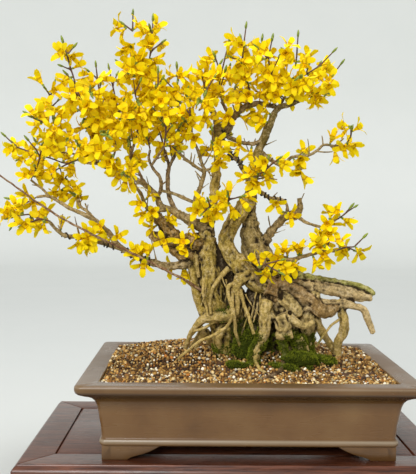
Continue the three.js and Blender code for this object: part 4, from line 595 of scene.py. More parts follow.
def weathered_bark(settings):
    """Old forsythia bark and sun-bleached deadwood: corky tan ridges, dark furrows, painted shade in seams
    and hollows, green film low down.
    """
    material = new_material("weathered_bark")
    where = add_node(material, "ShaderNodeTexCoord")
    tint = add_node(material, "ShaderNodeAttribute", attribute_name="bark_tint_and_highlight")
    furrow_and_painted_shade = add_node(material, "ShaderNodeAttribute", attribute_name="furrow_and_painted_shade")
    # Blotches of about 12 mm, corky grain of about 4 mm and pits of about 2 mm
    blotch = add_node(material, "ShaderNodeTexNoise", {
        "Vector": where.outputs["Object"], "Scale": 80.0, "Detail": 4.0, "Roughness": 0.6})
    cork = add_node(material, "ShaderNodeTexNoise", {
        "Vector": where.outputs["Object"], "Scale": 230.0, "Detail": 7.0, "Roughness": 0.78})
    pits = add_node(material, "ShaderNodeTexVoronoi", {"Vector": where.outputs["Object"], "Scale": 480.0})
    light = add_node(material, "ShaderNodeMapRange", {
        "Value": blotch.outputs[0], "From Min": 0.3, "From Max": 0.72, "To Min": 0.66, "To Max": 1.36})
    grain = add_node(material, "ShaderNodeMapRange", {
        "Value": cork.outputs[0], "From Min": 0.36, "From Max": 0.64, "To Min": 0.45, "To Max": 1.5})
    both = add_node(material, "ShaderNodeMath", {
        0: light.outputs[0], 1: grain.outputs[0]}, operation="MULTIPLY")
    lit = add_node(material, "ShaderNodeHueSaturation", {
        "Color": tint.outputs["Color"], "Saturation": 1.1, "Value": both.outputs[0]})
    # The corky ridges are bleached to a greyer tan
    high = add_node(material, "ShaderNodeMapRange", {
        "Value": both.outputs[0], "From Min": 0.9, "From Max": 1.5, "To Min": 0.0, "To Max": 0.6})
    bleached = add_node(material, "ShaderNodeMix", {
        MIX_SHARE: high.outputs[0], MIX_A: lit.outputs[0], MIX_B: linear(0xC9B896)}, data_type="RGBA")
    speck = add_node(material, "ShaderNodeMapRange", {
        "Value": pits.outputs["Distance"], "From Min": 0.16, "From Max": 0.34, "To Min": 0.5, "To Max": 0.0})
    # Furrows, painted shade in seams and hollows, and pits darken towards the crevice colour
    shaded = add_node(material, "ShaderNodeMath", {
        0: furrow_and_painted_shade.outputs["Fac"], 1: speck.outputs[0]}, operation="ADD", use_clamp=True)
    tone = add_node(material, "ShaderNodeMix", {
        MIX_SHARE: shaded.outputs[0], MIX_A: bleached.outputs[MIX_RESULT], MIX_B: settings.crevice_colour},
        data_type="RGBA")
    film = add_node(material, "ShaderNodeAttribute", attribute_name="green_film")
    green = add_node(material, "ShaderNodeMix", {
        MIX_SHARE: film.outputs["Fac"], MIX_A: tone.outputs[MIX_RESULT], MIX_B: linear(0x59611F)},
        data_type="RGBA")
    bump = add_node(material, "ShaderNodeBump", {
        "Height": cork.outputs[0], "Strength": 0.8, "Distance": 1.8 * MM})
    return close_material(
        material, Base_Color=green.outputs[MIX_RESULT], Roughness=0.82, Normal=bump.outputs[0],
        Specular_IOR_Level=0.3)


def young_twig():
    """Flowering shoot: brown skin with pale breathing pores about a millimetre across."""
    material = new_material("young_twig")
    where = add_node(material, "ShaderNodeTexCoord")
    pores = add_node(material, "ShaderNodeTexVoronoi", {"Vector": where.outputs["Object"], "Scale": 420.0})
    tone = add_node(material, "ShaderNodeValToRGB", {"Fac": pores.outputs["Distance"]}, stops=[
        (0.0, linear(0xA48464)), (0.22, linear(0x785238)), (0.6, linear(0x503428))])
    bump = add_node(material, "ShaderNodeBump", {
        "Height": pores.outputs["Distance"], "Strength": 0.4, "Distance": 0.3 * MM})
    return close_material(material, Base_Color=tone.outputs[0], Roughness=0.62, Normal=bump.outputs[0])


def forsythia_petal(settings):
    """Forsythia petal: clear yellow, soft and slightly see-through, golden at the throat."""
    material = new_material("forsythia_petal")
    where = add_node(material, "ShaderNodeTexCoord")
    reach = add_node(material, "ShaderNodeAttribute", attribute_name="reach")
    tint = add_node(material, "ShaderNodeAttribute", attribute_name="tint")
    throat = add_node(material, "ShaderNodeValToRGB", {"Fac": reach.outputs["Fac"]}, stops=[
        (0.0, linear(0xB88A00)), (0.05, settings.throat_colour), (0.13, linear(0xFFDA00)),
        (0.45, settings.petal_colour), (1.0, linear(0xFFE206))])
    # Veins and folds of about 1.5 mm
    vein = add_node(material, "ShaderNodeTexNoise", {
        "Vector": where.outputs["Object"], "Scale": 420.0, "Detail": 2.0})
    shade = add_node(material, "ShaderNodeMapRange", {
        "Value": tint.outputs["Fac"], "To Min": 0.86, "To Max": 1.05})
    tone = add_node(material, "ShaderNodeHueSaturation", {
        "Color": throat.outputs[0], "Value": shade.outputs[0]})
    bump = add_node(material, "ShaderNodeBump", {
        "Height": vein.outputs[0], "Strength": 0.35, "Distance": 0.4 * MM})
    return close_material(
        material, Base_Color=tone.outputs[0], Roughness=0.6, Normal=bump.outputs[0], Subsurface_Weight=0.2,
        Subsurface_Radius=(0.003, 0.003, 0.0004), Subsurface_Scale=0.5, Specular_IOR_Level=0.12)


def green_calyx():
    """Calyx and leaf buds: fresh green, paler in patches."""
    material = new_material("green_calyx")
    where = add_node(material, "ShaderNodeTexCoord")
    patch = add_node(material, "ShaderNodeTexNoise", {"Vector": where.outputs["Object"], "Scale": 300.0})
    tone = add_node(material, "ShaderNodeValToRGB", {"Fac": patch.outputs[0]}, stops=[
        (0.3, linear(0x5E7218)), (0.7, linear(0x9AA838))])
    return close_material(material, Base_Color=tone.outputs[0], Roughness=0.55)


def dark_wire():
    """Anodised aluminium training wire: near black, dull, with rubbed places."""
    material = new_material("dark_anodised_wire")
    where = add_node(material, "ShaderNodeTexCoord")
    rub = add_node(material, "ShaderNodeTexNoise", {"Vector": where.outputs["Object"], "Scale": 240.0})
    tone = add_node(material, "ShaderNodeValToRGB", {"Fac": rub.outputs[0]}, stops=[
        (0.4, linear(0x14110D)), (0.75, linear(0x4A3B2A))])
    return close_material(material, Base_Color=tone.outputs[0], Roughness=0.5, Metallic=0.3)


def refined_copy(node, radius):
    """A copy of a CAD board with its faces merged and every edge rounded."""
    make_active(frame["nodes"][node])
    bpy.ops.object.duplicate()
    board = bpy.context.object
    board.parent = None
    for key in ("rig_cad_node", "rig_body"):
        if key in board:
            del board[key]
    bpy.ops.object.mode_set(mode="EDIT")
    bpy.ops.mesh.select_all(action="SELECT")
    bpy.ops.mesh.remove_doubles(threshold=0.00001)
    bpy.ops.mesh.dissolve_limited(angle_limit=math.radians(1))
    bpy.ops.object.mode_set(mode="OBJECT")
    if radius:
        apply_modifier(board, "BEVEL", width=radius, segments=3, limit_method="ANGLE",
                       angle_limit=math.radians(50))
    return board


class BONSAI_OT_stand(bpy.types.Operator):
    """Build the display stand from the CAD boards with rounded, oiled edges"""
    bl_idname = "bonsai.stand"
    bl_label = "Display stand"

    def execute(self, context):
        settings = context.scene.bonsai_stand
        grains = {
            "x": oiled_rosewood(settings, "oiled_rosewood_long", 0),
            "y": oiled_rosewood(settings, "oiled_rosewood_cross", math.pi / 2),
        }
        boards = [name for name in frame["nodes"] if name.split("_")[0] in ("rail", "panel", "leg", "apron")]
        for name in boards:
            board = refined_copy(name, settings.edge_radius)
            smooth_shade(board)
            grain = grains["y" if name.endswith(("_left", "_right")) and "leg" not in name else "x"]
            settle(board, "stand_" + name, grain, "stand_wood", name)
        return {"FINISHED"}


class BONSAI_OT_pot(bpy.types.Operator):
    """Build the rectangular clay pot with its lip, foot bead and bracket feet"""
    bl_idname = "bonsai.pot"
    bl_label = "Clay pot"

    # Heights in millimetres, and how much painted shade darkens the clay at each: most in the cove under the
    # lip
    PATINA = ((0, 18, 21, 70, 88, 96, 104, 107, 115), (0.4, 0.6, 0.1, 0.0, 0.35, 0.85, 0.8, 0.22, 0.2))
    # Heights, and how strongly a painted highlight lightens the clay there: the bead and the lip's edges
    WORN = ((20, 23, 26, 29.5, 31, 111, 113, 114.6), (0, 0.1, 0.4, 1.0, 0, 0, 0.45, 0.12))

    def execute(self, context):
        settings = context.scene.bonsai_pot
        size = (POT_HIGH - POT_LOW) / MM
        deselect_all()
        inset, height = POT_OUTSIDE[0]
        bpy.ops.mesh.primitive_plane_add(size=1, location=(ORIGIN.x, ORIGIN.y, POT_LOW.z + height * MM))
        pot = bpy.context.object
        bpy.ops.object.mode_set(mode="EDIT")
        bpy.ops.mesh.select_all(action="SELECT")
        centre = tuple(pot.location)
        bpy.ops.transform.resize(
            value=((size.x - 2 * inset) * MM, (size.y - 2 * inset) * MM, 1), center_override=centre)
        bpy.ops.mesh.bevel(offset=POT_CORNER * MM, segments=7, affect="VERTICES")
        for next_inset, next_height in POT_OUTSIDE[1:] + POT_INSIDE:
            bpy.ops.mesh.extrude_region_move(
                TRANSFORM_OT_translate={"value": (0, 0, (next_height - height) * MM)})
            grow = [(size[axis] - 2 * next_inset) / (size[axis] - 2 * inset) for axis in (0, 1)]
            bpy.ops.transform.resize(value=(*grow, 1), center_override=centre)
            inset, height = next_inset, next_height
        bpy.ops.mesh.select_all(action="SELECT")
        bpy.ops.mesh.normals_make_consistent(inside=False)
        bpy.ops.object.mode_set(mode="OBJECT")
        for side in (-1, 1):
            drill_hole(pot, (ORIGIN.x + side * DRAIN_SPACING / 2 * MM, ORIGIN.y, POT_LOW.z + FLOOR_TOP * MM))
        apply_modifier(pot, "BEVEL", width=settings.edge_radius, segments=2, limit_method="ANGLE",
                       angle_limit=math.radians(38))
        feet = [pot]
        corner = (size.x / 2 - FOOT_INSET, size.y / 2 - FOOT_INSET)
        for sign_x in (-1, 1):
            for sign_y in (-1, 1):
                foot = foot_board(corner, sign_x, sign_y, False)
                other = foot_board(corner, sign_x, sign_y, True)
                apply_modifier(foot, "BOOLEAN", object=other, operation="UNION", solver="EXACT")
                bpy.data.objects.remove(other)
                apply_modifier(foot, "BEVEL", width=settings.edge_radius, segments=2, limit_method="ANGLE",
                               angle_limit=math.radians(50))
                feet.append(foot)
        make_active(pot)
        for foot in feet:
            foot.select_set(True)
        bpy.ops.object.join()
        smooth_shade(pot)
        make_active(pot)
        bpy.ops.object.transform_apply(location=True, rotation=True, scale=True)
        heights = (read_points(pot.data)[:, 2] - POT_LOW.z) / MM
        point_attribute(pot.data, "patina", np.interp(heights, *self.PATINA))
        point_attribute(pot.data, "worn", np.interp(heights, *self.WORN))
        settle(pot, "pot_fired", fired_clay(settings), "pot_clay", "pot")
        return {"FINISHED"}


def drill_hole(pot, where):
    """Cuts one round drain hole through the pot's floor."""
    deselect_all()
    bpy.ops.mesh.primitive_cylinder_add(
        vertices=32, radius=DRAIN_RADIUS * MM, depth=FLOOR_TOP * MM, location=where)
    drill = bpy.context.object
    apply_modifier(pot, "BOOLEAN", object=drill, operation="DIFFERENCE", solver="EXACT")
    bpy.data.objects.remove(drill)


def foot_board(corner, sign_x, sign_y, across):
    """One swept board of a bracket foot, which runs from the pot's corner along its side."""
    length = FOOT_REACH + FOOT_SWEEP
    deselect_all()
    bpy.ops.mesh.primitive_grid_add(x_subdivisions=16, y_subdivisions=1, size=1, location=(0, 0, 0))
    board = bpy.context.object
    bpy.ops.object.mode_set(mode="EDIT")
    bpy.ops.mesh.select_all(action="SELECT")
    bpy.ops.transform.resize(value=(length, FOOT_THICKNESS, 1), center_override=(0, 0, 0))
    top = FOOT_HEIGHT + FOOT_OVERLAP
    bpy.ops.transform.translate(value=(length / 2, FOOT_THICKNESS / 2, top))
    bpy.ops.mesh.extrude_region_move(TRANSFORM_OT_translate={"value": (0, 0, -top)})
    bpy.ops.object.mode_set(mode="OBJECT")
    points = read_points(board.data)
    for point in points:
        past = (point[0] - FOOT_REACH) / FOOT_SWEEP
        if point[2] < 1 and past > 0:
            # An S-shaped sweep from the foot's inner edge up to the body
            point[2] = FOOT_HEIGHT * min(1, 0.5 * past ** 0.45 + 0.5 * past ** 2.6)
    if across:
        points = points[:, [1, 0, 2]]
    points[:, 0] = sign_x * (corner[0] - points[:, 0])
    points[:, 1] = sign_y * (corner[1] - points[:, 1])
    write_points(board.data, points * MM + np.array([*ORIGIN.xy, POT_LOW.z]))
    bpy.ops.object.mode_set(mode="EDIT")
    bpy.ops.mesh.select_all(action="SELECT")
    bpy.ops.mesh.normals_make_consistent(inside=False)
    bpy.ops.object.mode_set(mode="OBJECT")
    return board


def shape_of(piece):
    """The arrays of a prototype's mesh, which scatter copies. The prototype itself is removed."""
    mesh = piece.data
    corners = np.empty(len(mesh.loops), dtype=int)
    mesh.loops.foreach_get("vertex_index", corners)
    counts = np.empty(len(mesh.polygons), dtype=int)
    mesh.polygons.foreach_get("loop_total", counts)
    shape = {"points": read_points(mesh), "corners": corners, "counts": counts}
    firsts = np.concatenate([[0], np.cumsum(counts)[:-1]])
    for name, plain in (("reach", 1.0), ("kind", 0.0)):
        values = np.full(len(mesh.vertices), plain)
        if name in mesh.attributes:
            mesh.attributes[name].data.foreach_get("value", values)
        shape[name] = values
    shape["kinds"] = shape.pop("kind")[corners[firsts]].astype(int)
    bpy.data.objects.remove(piece)
    return shape


def scatter(shapes, places):
    """One mesh of many copies. A place is a shape's number, its matrix and a value or colour of its own."""
    points, corners, counts, kinds, reaches, owns = [], [], [], [], [], []
    first = 0
    for number, matrix, own in places:
        shape = shapes[number]
        turn = np.array(matrix)
        points.append(shape["points"] @ turn[:3, :3].T + turn[:3, 3])
        corners.append(shape["corners"] + first)
        counts.append(shape["counts"])
        kinds.append(shape["kinds"])
        reaches.append(shape["reach"])
        owns.append(np.tile(np.atleast_1d(own), (len(shape["points"]), 1)))
        first += len(shape["points"])
    corners, counts = np.concatenate(corners), np.concatenate(counts)
    mesh = bpy.data.meshes.new("copies")
    mesh.vertices.add(first)
    mesh.loops.add(len(corners))
    mesh.polygons.add(len(counts))
    mesh.vertices.foreach_set("co", np.concatenate(points).ravel())
    mesh.loops.foreach_set("vertex_index", corners)
    mesh.polygons.foreach_set("loop_start", np.concatenate([[0], np.cumsum(counts)[:-1]]))
    mesh.polygons.foreach_set("material_index", np.concatenate(kinds))
    mesh.update(calc_edges=True)
    point_attribute(mesh, "reach", np.concatenate(reaches))
    own = np.concatenate(owns)
    if own.shape[1] == 1:
        point_attribute(mesh, "tint", own)
    else:
        point_attribute(mesh, "grain_colour", own, "FLOAT_COLOR")
    piece = bpy.data.objects.new("copies", mesh)
    bpy.context.scene.collection.objects.link(piece)
    return piece


def stand_on(middle, aim, size):
    """The matrix of a shape that stands at a place, with its height along an aim and one size."""
    turn = aim.to_track_quat("Z", "Y").to_matrix().to_4x4()
    return Matrix.Translation(middle) @ turn @ Matrix.Scale(size, 4)


def read_normals(mesh):
    normals = np.empty(len(mesh.vertices) * 3)
    mesh.vertices.foreach_get("normal", normals)
    return normals.reshape(-1, 3)


def depth_of_hollows(mesh, points, normals):
    """How far each point lies under the surface evened out over some millimetres, in metres."""
    edges = np.empty(len(mesh.edges) * 2, dtype=int)
    mesh.edges.foreach_get("vertices", edges)
    ends = np.concatenate([edges[::2], edges[1::2]])
    starts = np.concatenate([edges[1::2], edges[::2]])
    count = np.maximum(np.bincount(ends, minlength=len(points)), 1)
    even = points.copy()
    for _ in range(8):
        for axis in range(3):
            even[:, axis] = np.bincount(ends, even[starts, axis], len(points)) / count
    return np.sum((even - points) * normals, axis=1)


def moss_growth(points):
    """How well moss grows at each place, from 0 to 1: in patches where the tree stays damp."""
    places = (points - np.array(ORIGIN)) / MM
    growth = np.zeros(len(points))
    for middle, radii, most in MOSS_ZONES:
        inside = np.clip(1.25 - np.linalg.norm((places - middle) / radii, axis=1), 0, 1)
        growth = np.maximum(growth, most * np.minimum(1, 2.2 * inside))
    for index in np.nonzero(growth)[0]:
        growth[index] *= min(1, max(0, 0.62 + 1.5 * noise.noise(Vector(points[index]) * 95)))
    return growth


def soil_height(x, y):
    """Height of the soil over the stand's top at a place from the pot's middle, in millimetres."""
    spread = ((x - MOUND["x"]) / MOUND["radius_x"]) ** 4 + ((y - MOUND["y"]) / MOUND["radius_y"]) ** 4
    return SOIL_LEVEL + MOUND["height"] * math.exp(-spread)


class BONSAI_OT_gravel(bpy.types.Operator):
    """Cover the soil with loose grains of gravel"""
    bl_idname = "bonsai.gravel"
    bl_label = "Gravel"

    # Colours of the grains, each with its share
    GRAINS = [(0xAE8440, 5), (0xCBA25C, 4), (0x8E6428, 5), (0x6A4718, 4), (0xDFC892, 2.4), (0xF6ECD2, 1.6),
              (0xB0702C, 1.6), (0x402A10, 3), (0x94845C, 1)]
    # Different chips, their sizes as shares of the mean, and how close and how evenly they lie
    CHIPS = 8
    CHIP_SIZES = (0.6, 0.75, 0.9, 1.0, 1.15, 1.4)
    CLOSENESS = 0.86
    STRAY = 1.6

    def execute(self, context):
        settings = context.scene.bonsai_gravel
        rng = random.Random(settings.seed)
        shapes = [self.add_grain(rng) for _ in range(self.CHIPS)]
        step = settings.grain_size / MM * self.CLOSENESS
        colours = [linear(code) for code, _ in self.GRAINS]
        shares = [share for _, share in self.GRAINS]
        halves = {"front": [], "back": []}
        y = -SOIL_HALF[1]
        while y < SOIL_HALF[1]:
            x = -SOIL_HALF[0]
            while x < SOIL_HALF[0]:
                px, py = x + rng.uniform(-self.STRAY, self.STRAY), y + rng.uniform(-self.STRAY, self.STRAY)
                size = settings.grain_size / MM * rng.choice(self.CHIP_SIZES) / 2
                colour = np.array(rng.choices(colours, shares)[0])
                colour[:3] *= rng.uniform(0.6, 1.45)
                spin = Matrix.Rotation(rng.uniform(0, math.tau), 4, Vector(
                    (rng.uniform(-1, 1), rng.uniform(-1, 1), rng.uniform(-1, 1))).normalized())
                middle = ORIGIN + Vector((px, py, soil_height(px, py) + rng.uniform(-0.1, 0.5) * size)) * MM
                matrix = Matrix.Translation(middle) @ spin @ Matrix.Scale(size * MM, 4)
                halves["front" if py < 0 else "back"].append((rng.randrange(self.CHIPS), matrix, colour))
                x += step
            y += step
        material = baked_gravel()
        for name, places in halves.items():
            settle(scatter(shapes, places), "gravel_" + name, material, "gravel")
        soil = frame["nodes"]["soil"]
        for slot in soil.material_slots:
            slot.material = damp_soil()
        return {"FINISHED"}

    @staticmethod
    def add_grain(rng):
        """One angular chip of gravel, about one unit in radius."""
        deselect_all()
        bpy.ops.mesh.primitive_ico_sphere_add(subdivisions=1, radius=1)
        grain = bpy.context.object
        size = [rng.uniform(0.8, 1.2), rng.uniform(0.7, 1.0), rng.uniform(0.5, 0.8)]
        points = read_points(grain.data) * size
        for point in points:
            point *= rng.uniform(0.78, 1.2)
        write_points(grain.data, points)
        return shape_of(grain)


class BONSAI_OT_moss(bpy.types.Operator):
    """Grow moss cushions among the roots"""
    bl_idname = "bonsai.moss"
    bl_label = "Moss"

    # Patches of small cushions on the gravel: middle and half size in millimetres, and their number
    PATCHES = [
        ("moss_patch_middle", (66, -44), (40, 14), 16),
        ("moss_patch_right", (118, -14), (36, 22), 16),
        ("moss_patch_left", (-14, -40), (24, 10), 8),
    ]
    # Size of a cushion's faces in millimetres
    GRAIN = 1.8

    def execute(self, context):
        settings = context.scene.bonsai_moss
        material = living_moss(settings)
        rng = random.Random(5)
        blade = self.add_blade()
        for name in ("moss_front", "moss_middle"):
            cushion = refined_copy(name, 0)
            self.roughen(cushion)
            self.grow(cushion, name + "_cushion", blade, rng, material, settings, name)
        for name, middle, half, count in self.PATCHES:
            cushions = [self.add_cushion(rng, middle, half) for _ in range(count)]
            make_active(cushions[0])
            for cushion in cushions:
                cushion.select_set(True)
            bpy.ops.object.join()
            patch = bpy.context.object
            self.roughen(patch)
            self.grow(patch, name, blade, rng, material, settings)
        if "trunks_and_roots" in bpy.data.objects:
            self.clothe(bpy.data.objects["trunks_and_roots"], blade, rng, material, settings)
        return {"FINISHED"}

    @staticmethod
    def add_cushion(rng, middle, half):
        """One low cushion of moss at a random place of a patch, small at the patch's edge."""
        away, angle = rng.uniform(0, 1), rng.uniform(0, math.tau)
        x = middle[0] + half[0] * away * math.cos(angle)
        y = middle[1] + half[1] * away * math.sin(angle)
        width = rng.uniform(7, 13) * (1.15 - 0.6 * away)
        deselect_all()
        bpy.ops.mesh.primitive_uv_sphere_add(
            segments=12, ring_count=8, radius=1, location=ORIGIN + Vector((x, y, soil_height(x, y))) * MM,
            scale=Vector((width, width * rng.uniform(0.7, 1.1), width * rng.uniform(0.3, 0.5))) * MM)
        bpy.ops.object.transform_apply(location=True, rotation=True, scale=True)
        return bpy.context.object

    @staticmethod
    def clothe(wood, blade, rng, material, settings):
        """Stands moss shoots on the wood where it stays damp."""
        middles = np.empty(len(wood.data.polygons) * 3)
        wood.data.polygons.foreach_get("center", middles)
        growth = moss_growth(middles.reshape(-1, 3))
        places = []
        for index in np.nonzero(growth > 0.25)[0]:
            polygon = wood.data.polygons[index]
            if polygon.normal.y > 0.6 or rng.random() > growth[index] * 1.3:
                continue
            stray = Vector((rng.uniform(-0.5, 0.5), rng.uniform(-0.5, 0.5), 0.7))
            size = settings.blade_height * rng.uniform(0.7, 1.5)
            places.append((0, stand_on(polygon.center, polygon.normal + stray, size), rng.random()))
        settle(scatter([blade], places), "moss_on_roots", material, "moss")

    @staticmethod
    def add_blade():
        """One three-sided moss shoot a unit high."""
        deselect_all()
        bpy.ops.mesh.primitive_cone_add(
            vertices=3, radius1=0.2, radius2=0.03, depth=1, location=(0, 0, 0.45))
        bpy.ops.object.transform_apply(location=True, rotation=True, scale=True)
        blade = bpy.context.object
        point_attribute(blade.data, "reach", np.clip(read_points(blade.data)[:, 2], 0, 1))
        return shape_of(blade)

    @staticmethod
    def roughen(cushion):
        """Lumps of 10 mm and 4 mm over a fine even mesh."""
        apply_modifier(cushion, "REMESH", mode="VOXEL", voxel_size=BONSAI_OT_moss.GRAIN * MM)
        points = read_points(cushion.data)
        for index, vertex in enumerate(cushion.data.vertices):
            lump = 2.6 * noise.noise(vertex.co * 90) + 1.3 * noise.noise(vertex.co * 240)
            points[index] += np.array(vertex.normal) * (lump - 0.6) * MM
        write_points(cushion.data, points)

    @staticmethod
    def grow(cushion, name, blade, rng, material, settings, *nodes):
        """Stands moss shoots all over the upper side of a cushion and joins them to it."""
        places = []
        for polygon in cushion.data.polygons:
            if polygon.normal.z < -0.1 or rng.random() > 0.75:
                continue
            stray = Vector((rng.uniform(-0.5, 0.5), rng.uniform(-0.5, 0.5), 0.5))
            size = settings.blade_height * rng.uniform(0.6, 1.3)
            places.append((0, stand_on(polygon.center, polygon.normal + stray, size), rng.random()))
        shoots = scatter([blade], places)
        point_attribute(cushion.data, "reach", np.full(len(cushion.data.vertices), 0.12))
        make_active(cushion)
        shoots.select_set(True)
        bpy.ops.object.join()
        settle(cushion, name, material, "moss", *nodes)


def limb_path(name, spacing=3.0):
    """A limb's smooth centre line and radii in metres, through its points."""
    rows = [(*(place(*entry[:3]) - ORIGIN) / MM, entry[3]) for entry in LIMBS[name]]
    if name in FLARED:
        x, y, z, radius = rows[0]
        rows.insert(0, (x, y, z - FLARE_DEPTH, radius * FLARE_SPREAD))
    rows = np.array([rows[0], *rows, rows[-1]], dtype=float)
    samples = []
    for index in range(1, len(rows) - 2):
        before, start, end, after = rows[index - 1:index + 3]
        steps = max(2, int(np.linalg.norm(end[:3] - start[:3]) / spacing))
        for step in range(steps):
            t = step / steps
            curve = (2 * before - 5 * start + 4 * end - after) * t ** 2
            curve += (3 * start - before - 3 * end + after) * t ** 3
            samples.append(0.5 * (2 * start + (end - before) * t + curve))
    samples.append(rows[-1])
    samples = np.array(samples)
    return samples[:, :3] * MM + np.array(ORIGIN), np.maximum(samples[:, 3], 1.0) * MM


def limb_frames(points):
    """Tangents and two directions across a path, carried along it without twist."""
    tangents = np.gradient(points, axis=0)
    tangents /= np.linalg.norm(tangents, axis=1)[:, None]
    across = np.cross(tangents[0], (0.3, 1.0, 0.2))
    sides = []
    for tangent in tangents:
        across = across - tangent * np.dot(across, tangent)
        across /= np.linalg.norm(across)
        sides.append(across)
    sides = np.array(sides)
    return tangents, sides, np.cross(tangents, sides)


def add_tubes(paths, resolution):
    """Round tubes along paths of points and radii, as one mesh."""
    deselect_all()
    bpy.ops.curve.primitive_nurbs_path_add()
    curve = bpy.context.object.data
    curve.splines.clear()
    curve.dimensions = "3D"
    curve.bevel_depth = 1
    curve.bevel_resolution = resolution
    curve.use_fill_caps = True
    for points, radii in paths:
        spline = curve.splines.new("POLY")
        spline.points.add(len(points) - 1)
        spline.points.foreach_set("co", np.c_[points, np.ones(len(points))].ravel())
        spline.points.foreach_set("radius", radii)
    bpy.ops.object.convert(target="MESH")
    return bpy.context.object


def bark_of(name):
    tint, stretch, relief = BARKS.get(name) or BARKS[name.split("_")[0]]
    return [*linear(tint), stretch, relief]


class BONSAI_OT_wood(bpy.types.Operator):
    """Grow the trunks, roots, deadwood and limbs with their bark"""
    bl_idname = "bonsai.wood"
    bl_label = "Tree"

    # Limbs thicker than the first radius in millimetres are fused. Their thin ends start at the second one
    THICK = 4.6
    OVERLAP = 5.6
    # Bare spurs: how many places along a limb have one, the share of short ones, and lengths in millimetres
    SPUR_SHARE = 0.16
    SHORT_SHARE = 0.65
    SHORT_SPUR = (5, 15)
    LONG_SPUR = (18, 34)
    # Tangles of thin roots: first and last column, row and depth where they start, and their number
    TANGLES = [(206, 230, 280, -14, 14), (242, 262, 292, -16, 9)]

    def execute(self, context):
        settings = context.scene.bonsai_wood
        material = weathered_bark(settings)
        # Without a seed the bends would start from the clock and differ from run to run
        noise.seed_set(settings.seed)
        thick, thin = [], []
        for name in LIMBS:
            points, radii = limb_path(name)
            if radii.max() > self.THICK * MM:
                last = int(np.nonzero(radii > self.THICK * MM)[0].max()) + 1
                thick.append(self.rounded(points[:last + 1], radii[:last + 1]))
                slender = np.nonzero(radii < self.OVERLAP * MM)[0]
                start = max(int(slender.min()) - 1, 0) if len(slender) else len(radii)
                if len(radii) - start > 3 and last < len(radii) - 1:
                    thin.append(self.wander(points[start:], radii[start:], name))
            else:
                thin.append(self.wander(points, radii, name))
        thin.extend(self.spurs())
        thin.extend(self.fine_roots())
        self.guide()

        trunks = add_tubes(thick, 8)
        apply_modifier(trunks, "REMESH", mode="VOXEL", voxel_size=settings.grain_size, adaptivity=0)
        apply_modifier(trunks, "SMOOTH", factor=0.5, iterations=3)
        self.carve(trunks, settings, 1.0)
        smooth_shade(trunks, 180)
        settle(trunks, "trunks_and_roots", material, "bark", "wood")

        limbs = add_tubes(thin, 2)
        self.carve(limbs, settings, 0.6)
        smooth_shade(limbs, 180)
        settle(limbs, "limbs_and_twigs", material, "bark")
        return {"FINISHED"}

    @staticmethod
    def rounded(points, radii):
        """A thick limb with a round end."""
        along = points[-1] - points[-2]
        along /= np.linalg.norm(along)
        angles = np.radians((25, 45, 62, 78))
        caps = points[-1] + np.sin(angles)[:, None] * along * radii[-1]
        return np.concatenate([points, caps]), np.concatenate([radii, np.cos(angles) * radii[-1]])

    @staticmethod
    def wander(points, radii, name):
        """Small bends and swollen nodes along a thin limb, none at its foot."""
        key = sum(map(ord, name))
        moved = points.copy()
        for index, point in enumerate(points):
            ease = 1.1 * MM * min(1, index / 5, (len(points) - 1 - index) / 4)
            moved[index] += np.array(noise.noise_vector(Vector(point * 85) + Vector((key, 0, 0)))) * ease
        swell = 1 + 0.14 * np.maximum(0, np.sin(np.arange(len(radii)) * 1.55 + key)) ** 3
        return moved, radii * swell

    def spurs(self):
        """Short bare spurs and dead twiglets that stand off the older limbs."""
        rng = random.Random(3)
        grown = []
        for name in LIMBS:
            if name.split("_")[0] not in ("limb", "crown", "arc", "bridge", "elbow", "trunk"):
                continue
            points, radii = limb_path(name)
            tangents, sides, ups = limb_frames(points)
            for index in range(3, len(points) - 3):
                if radii[index] > 9 * MM or rng.random() > self.SPUR_SHARE:
                    continue
                angle = rng.uniform(0, math.tau)
                away = sides[index] * math.cos(angle) + ups[index] * math.sin(angle)
                aim = away + tangents[index] * rng.uniform(0.2, 1.0) + np.array([0, 0, 0.35])
                aim /= np.linalg.norm(aim)
                lengths = self.SHORT_SPUR if rng.random() < self.SHORT_SHARE else self.LONG_SPUR
                length = rng.uniform(*lengths)
                steps = np.linspace(0, 1, 5)[:, None]
                bend = np.array([rng.uniform(-1, 1), rng.uniform(-1, 1), rng.uniform(0, 1)])
                path = points[index] + steps * aim * (length * MM + radii[index])
                path += steps ** 2 * bend * 0.2 * length * MM
                grown.append((path, np.linspace(1.3, 0.8, 5) * MM))
        return grown

    def fine_roots(self):
        """Thin roots that hang in the base's hollows and bend down towards the soil."""
        rng = random.Random(9)
        grown = []
        for first, last, top, depth, count in self.TANGLES:
            for _ in range(count):
                row = top + rng.uniform(-8, 18)
                start = place(rng.uniform(first, last), row, depth + rng.uniform(-6, 6))
                aim = np.array([rng.uniform(-0.35, 0.45), rng.uniform(-0.3, 0.1), -1])
                bend = np.array([rng.uniform(-0.4, 0.6), rng.uniform(-0.2, 0.2), -0.3])
                steps = np.linspace(0, 1, 12)[:, None]
                path = np.array(start) + (steps * aim + steps ** 2 * bend) * rng.uniform(16, 36) * MM
                grown.append(self.wander(path, np.linspace(1.5, 0.7, 12) * MM, str(len(grown))))
        return grown

    def guide(self):
        """Samples of every limb's centre line, which the bark's pattern follows."""
        parts = []
        for number, name in enumerate(LIMBS):
            points, radii = limb_path(name)
            tangents, sides, ups = limb_frames(points)
            walked = np.concatenate([[0], np.cumsum(np.linalg.norm(np.diff(points, axis=0), axis=1))])
            bark = np.tile(bark_of(name), (len(points), 1))
            heights = (points[:, 2] - ORIGIN.z) / MM
            bark[:, :3] *= np.interp(heights, *(DARK_BARK if name in DARK_LIMBS else HIGH_BARK))[:, None]
            parts.append(np.c_[points, radii, tangents, sides, ups, walked + number * 0.7, bark])
        self.samples = np.concatenate(parts)
        self.limbs = np.repeat(np.arange(len(parts)), [len(part) for part in parts])

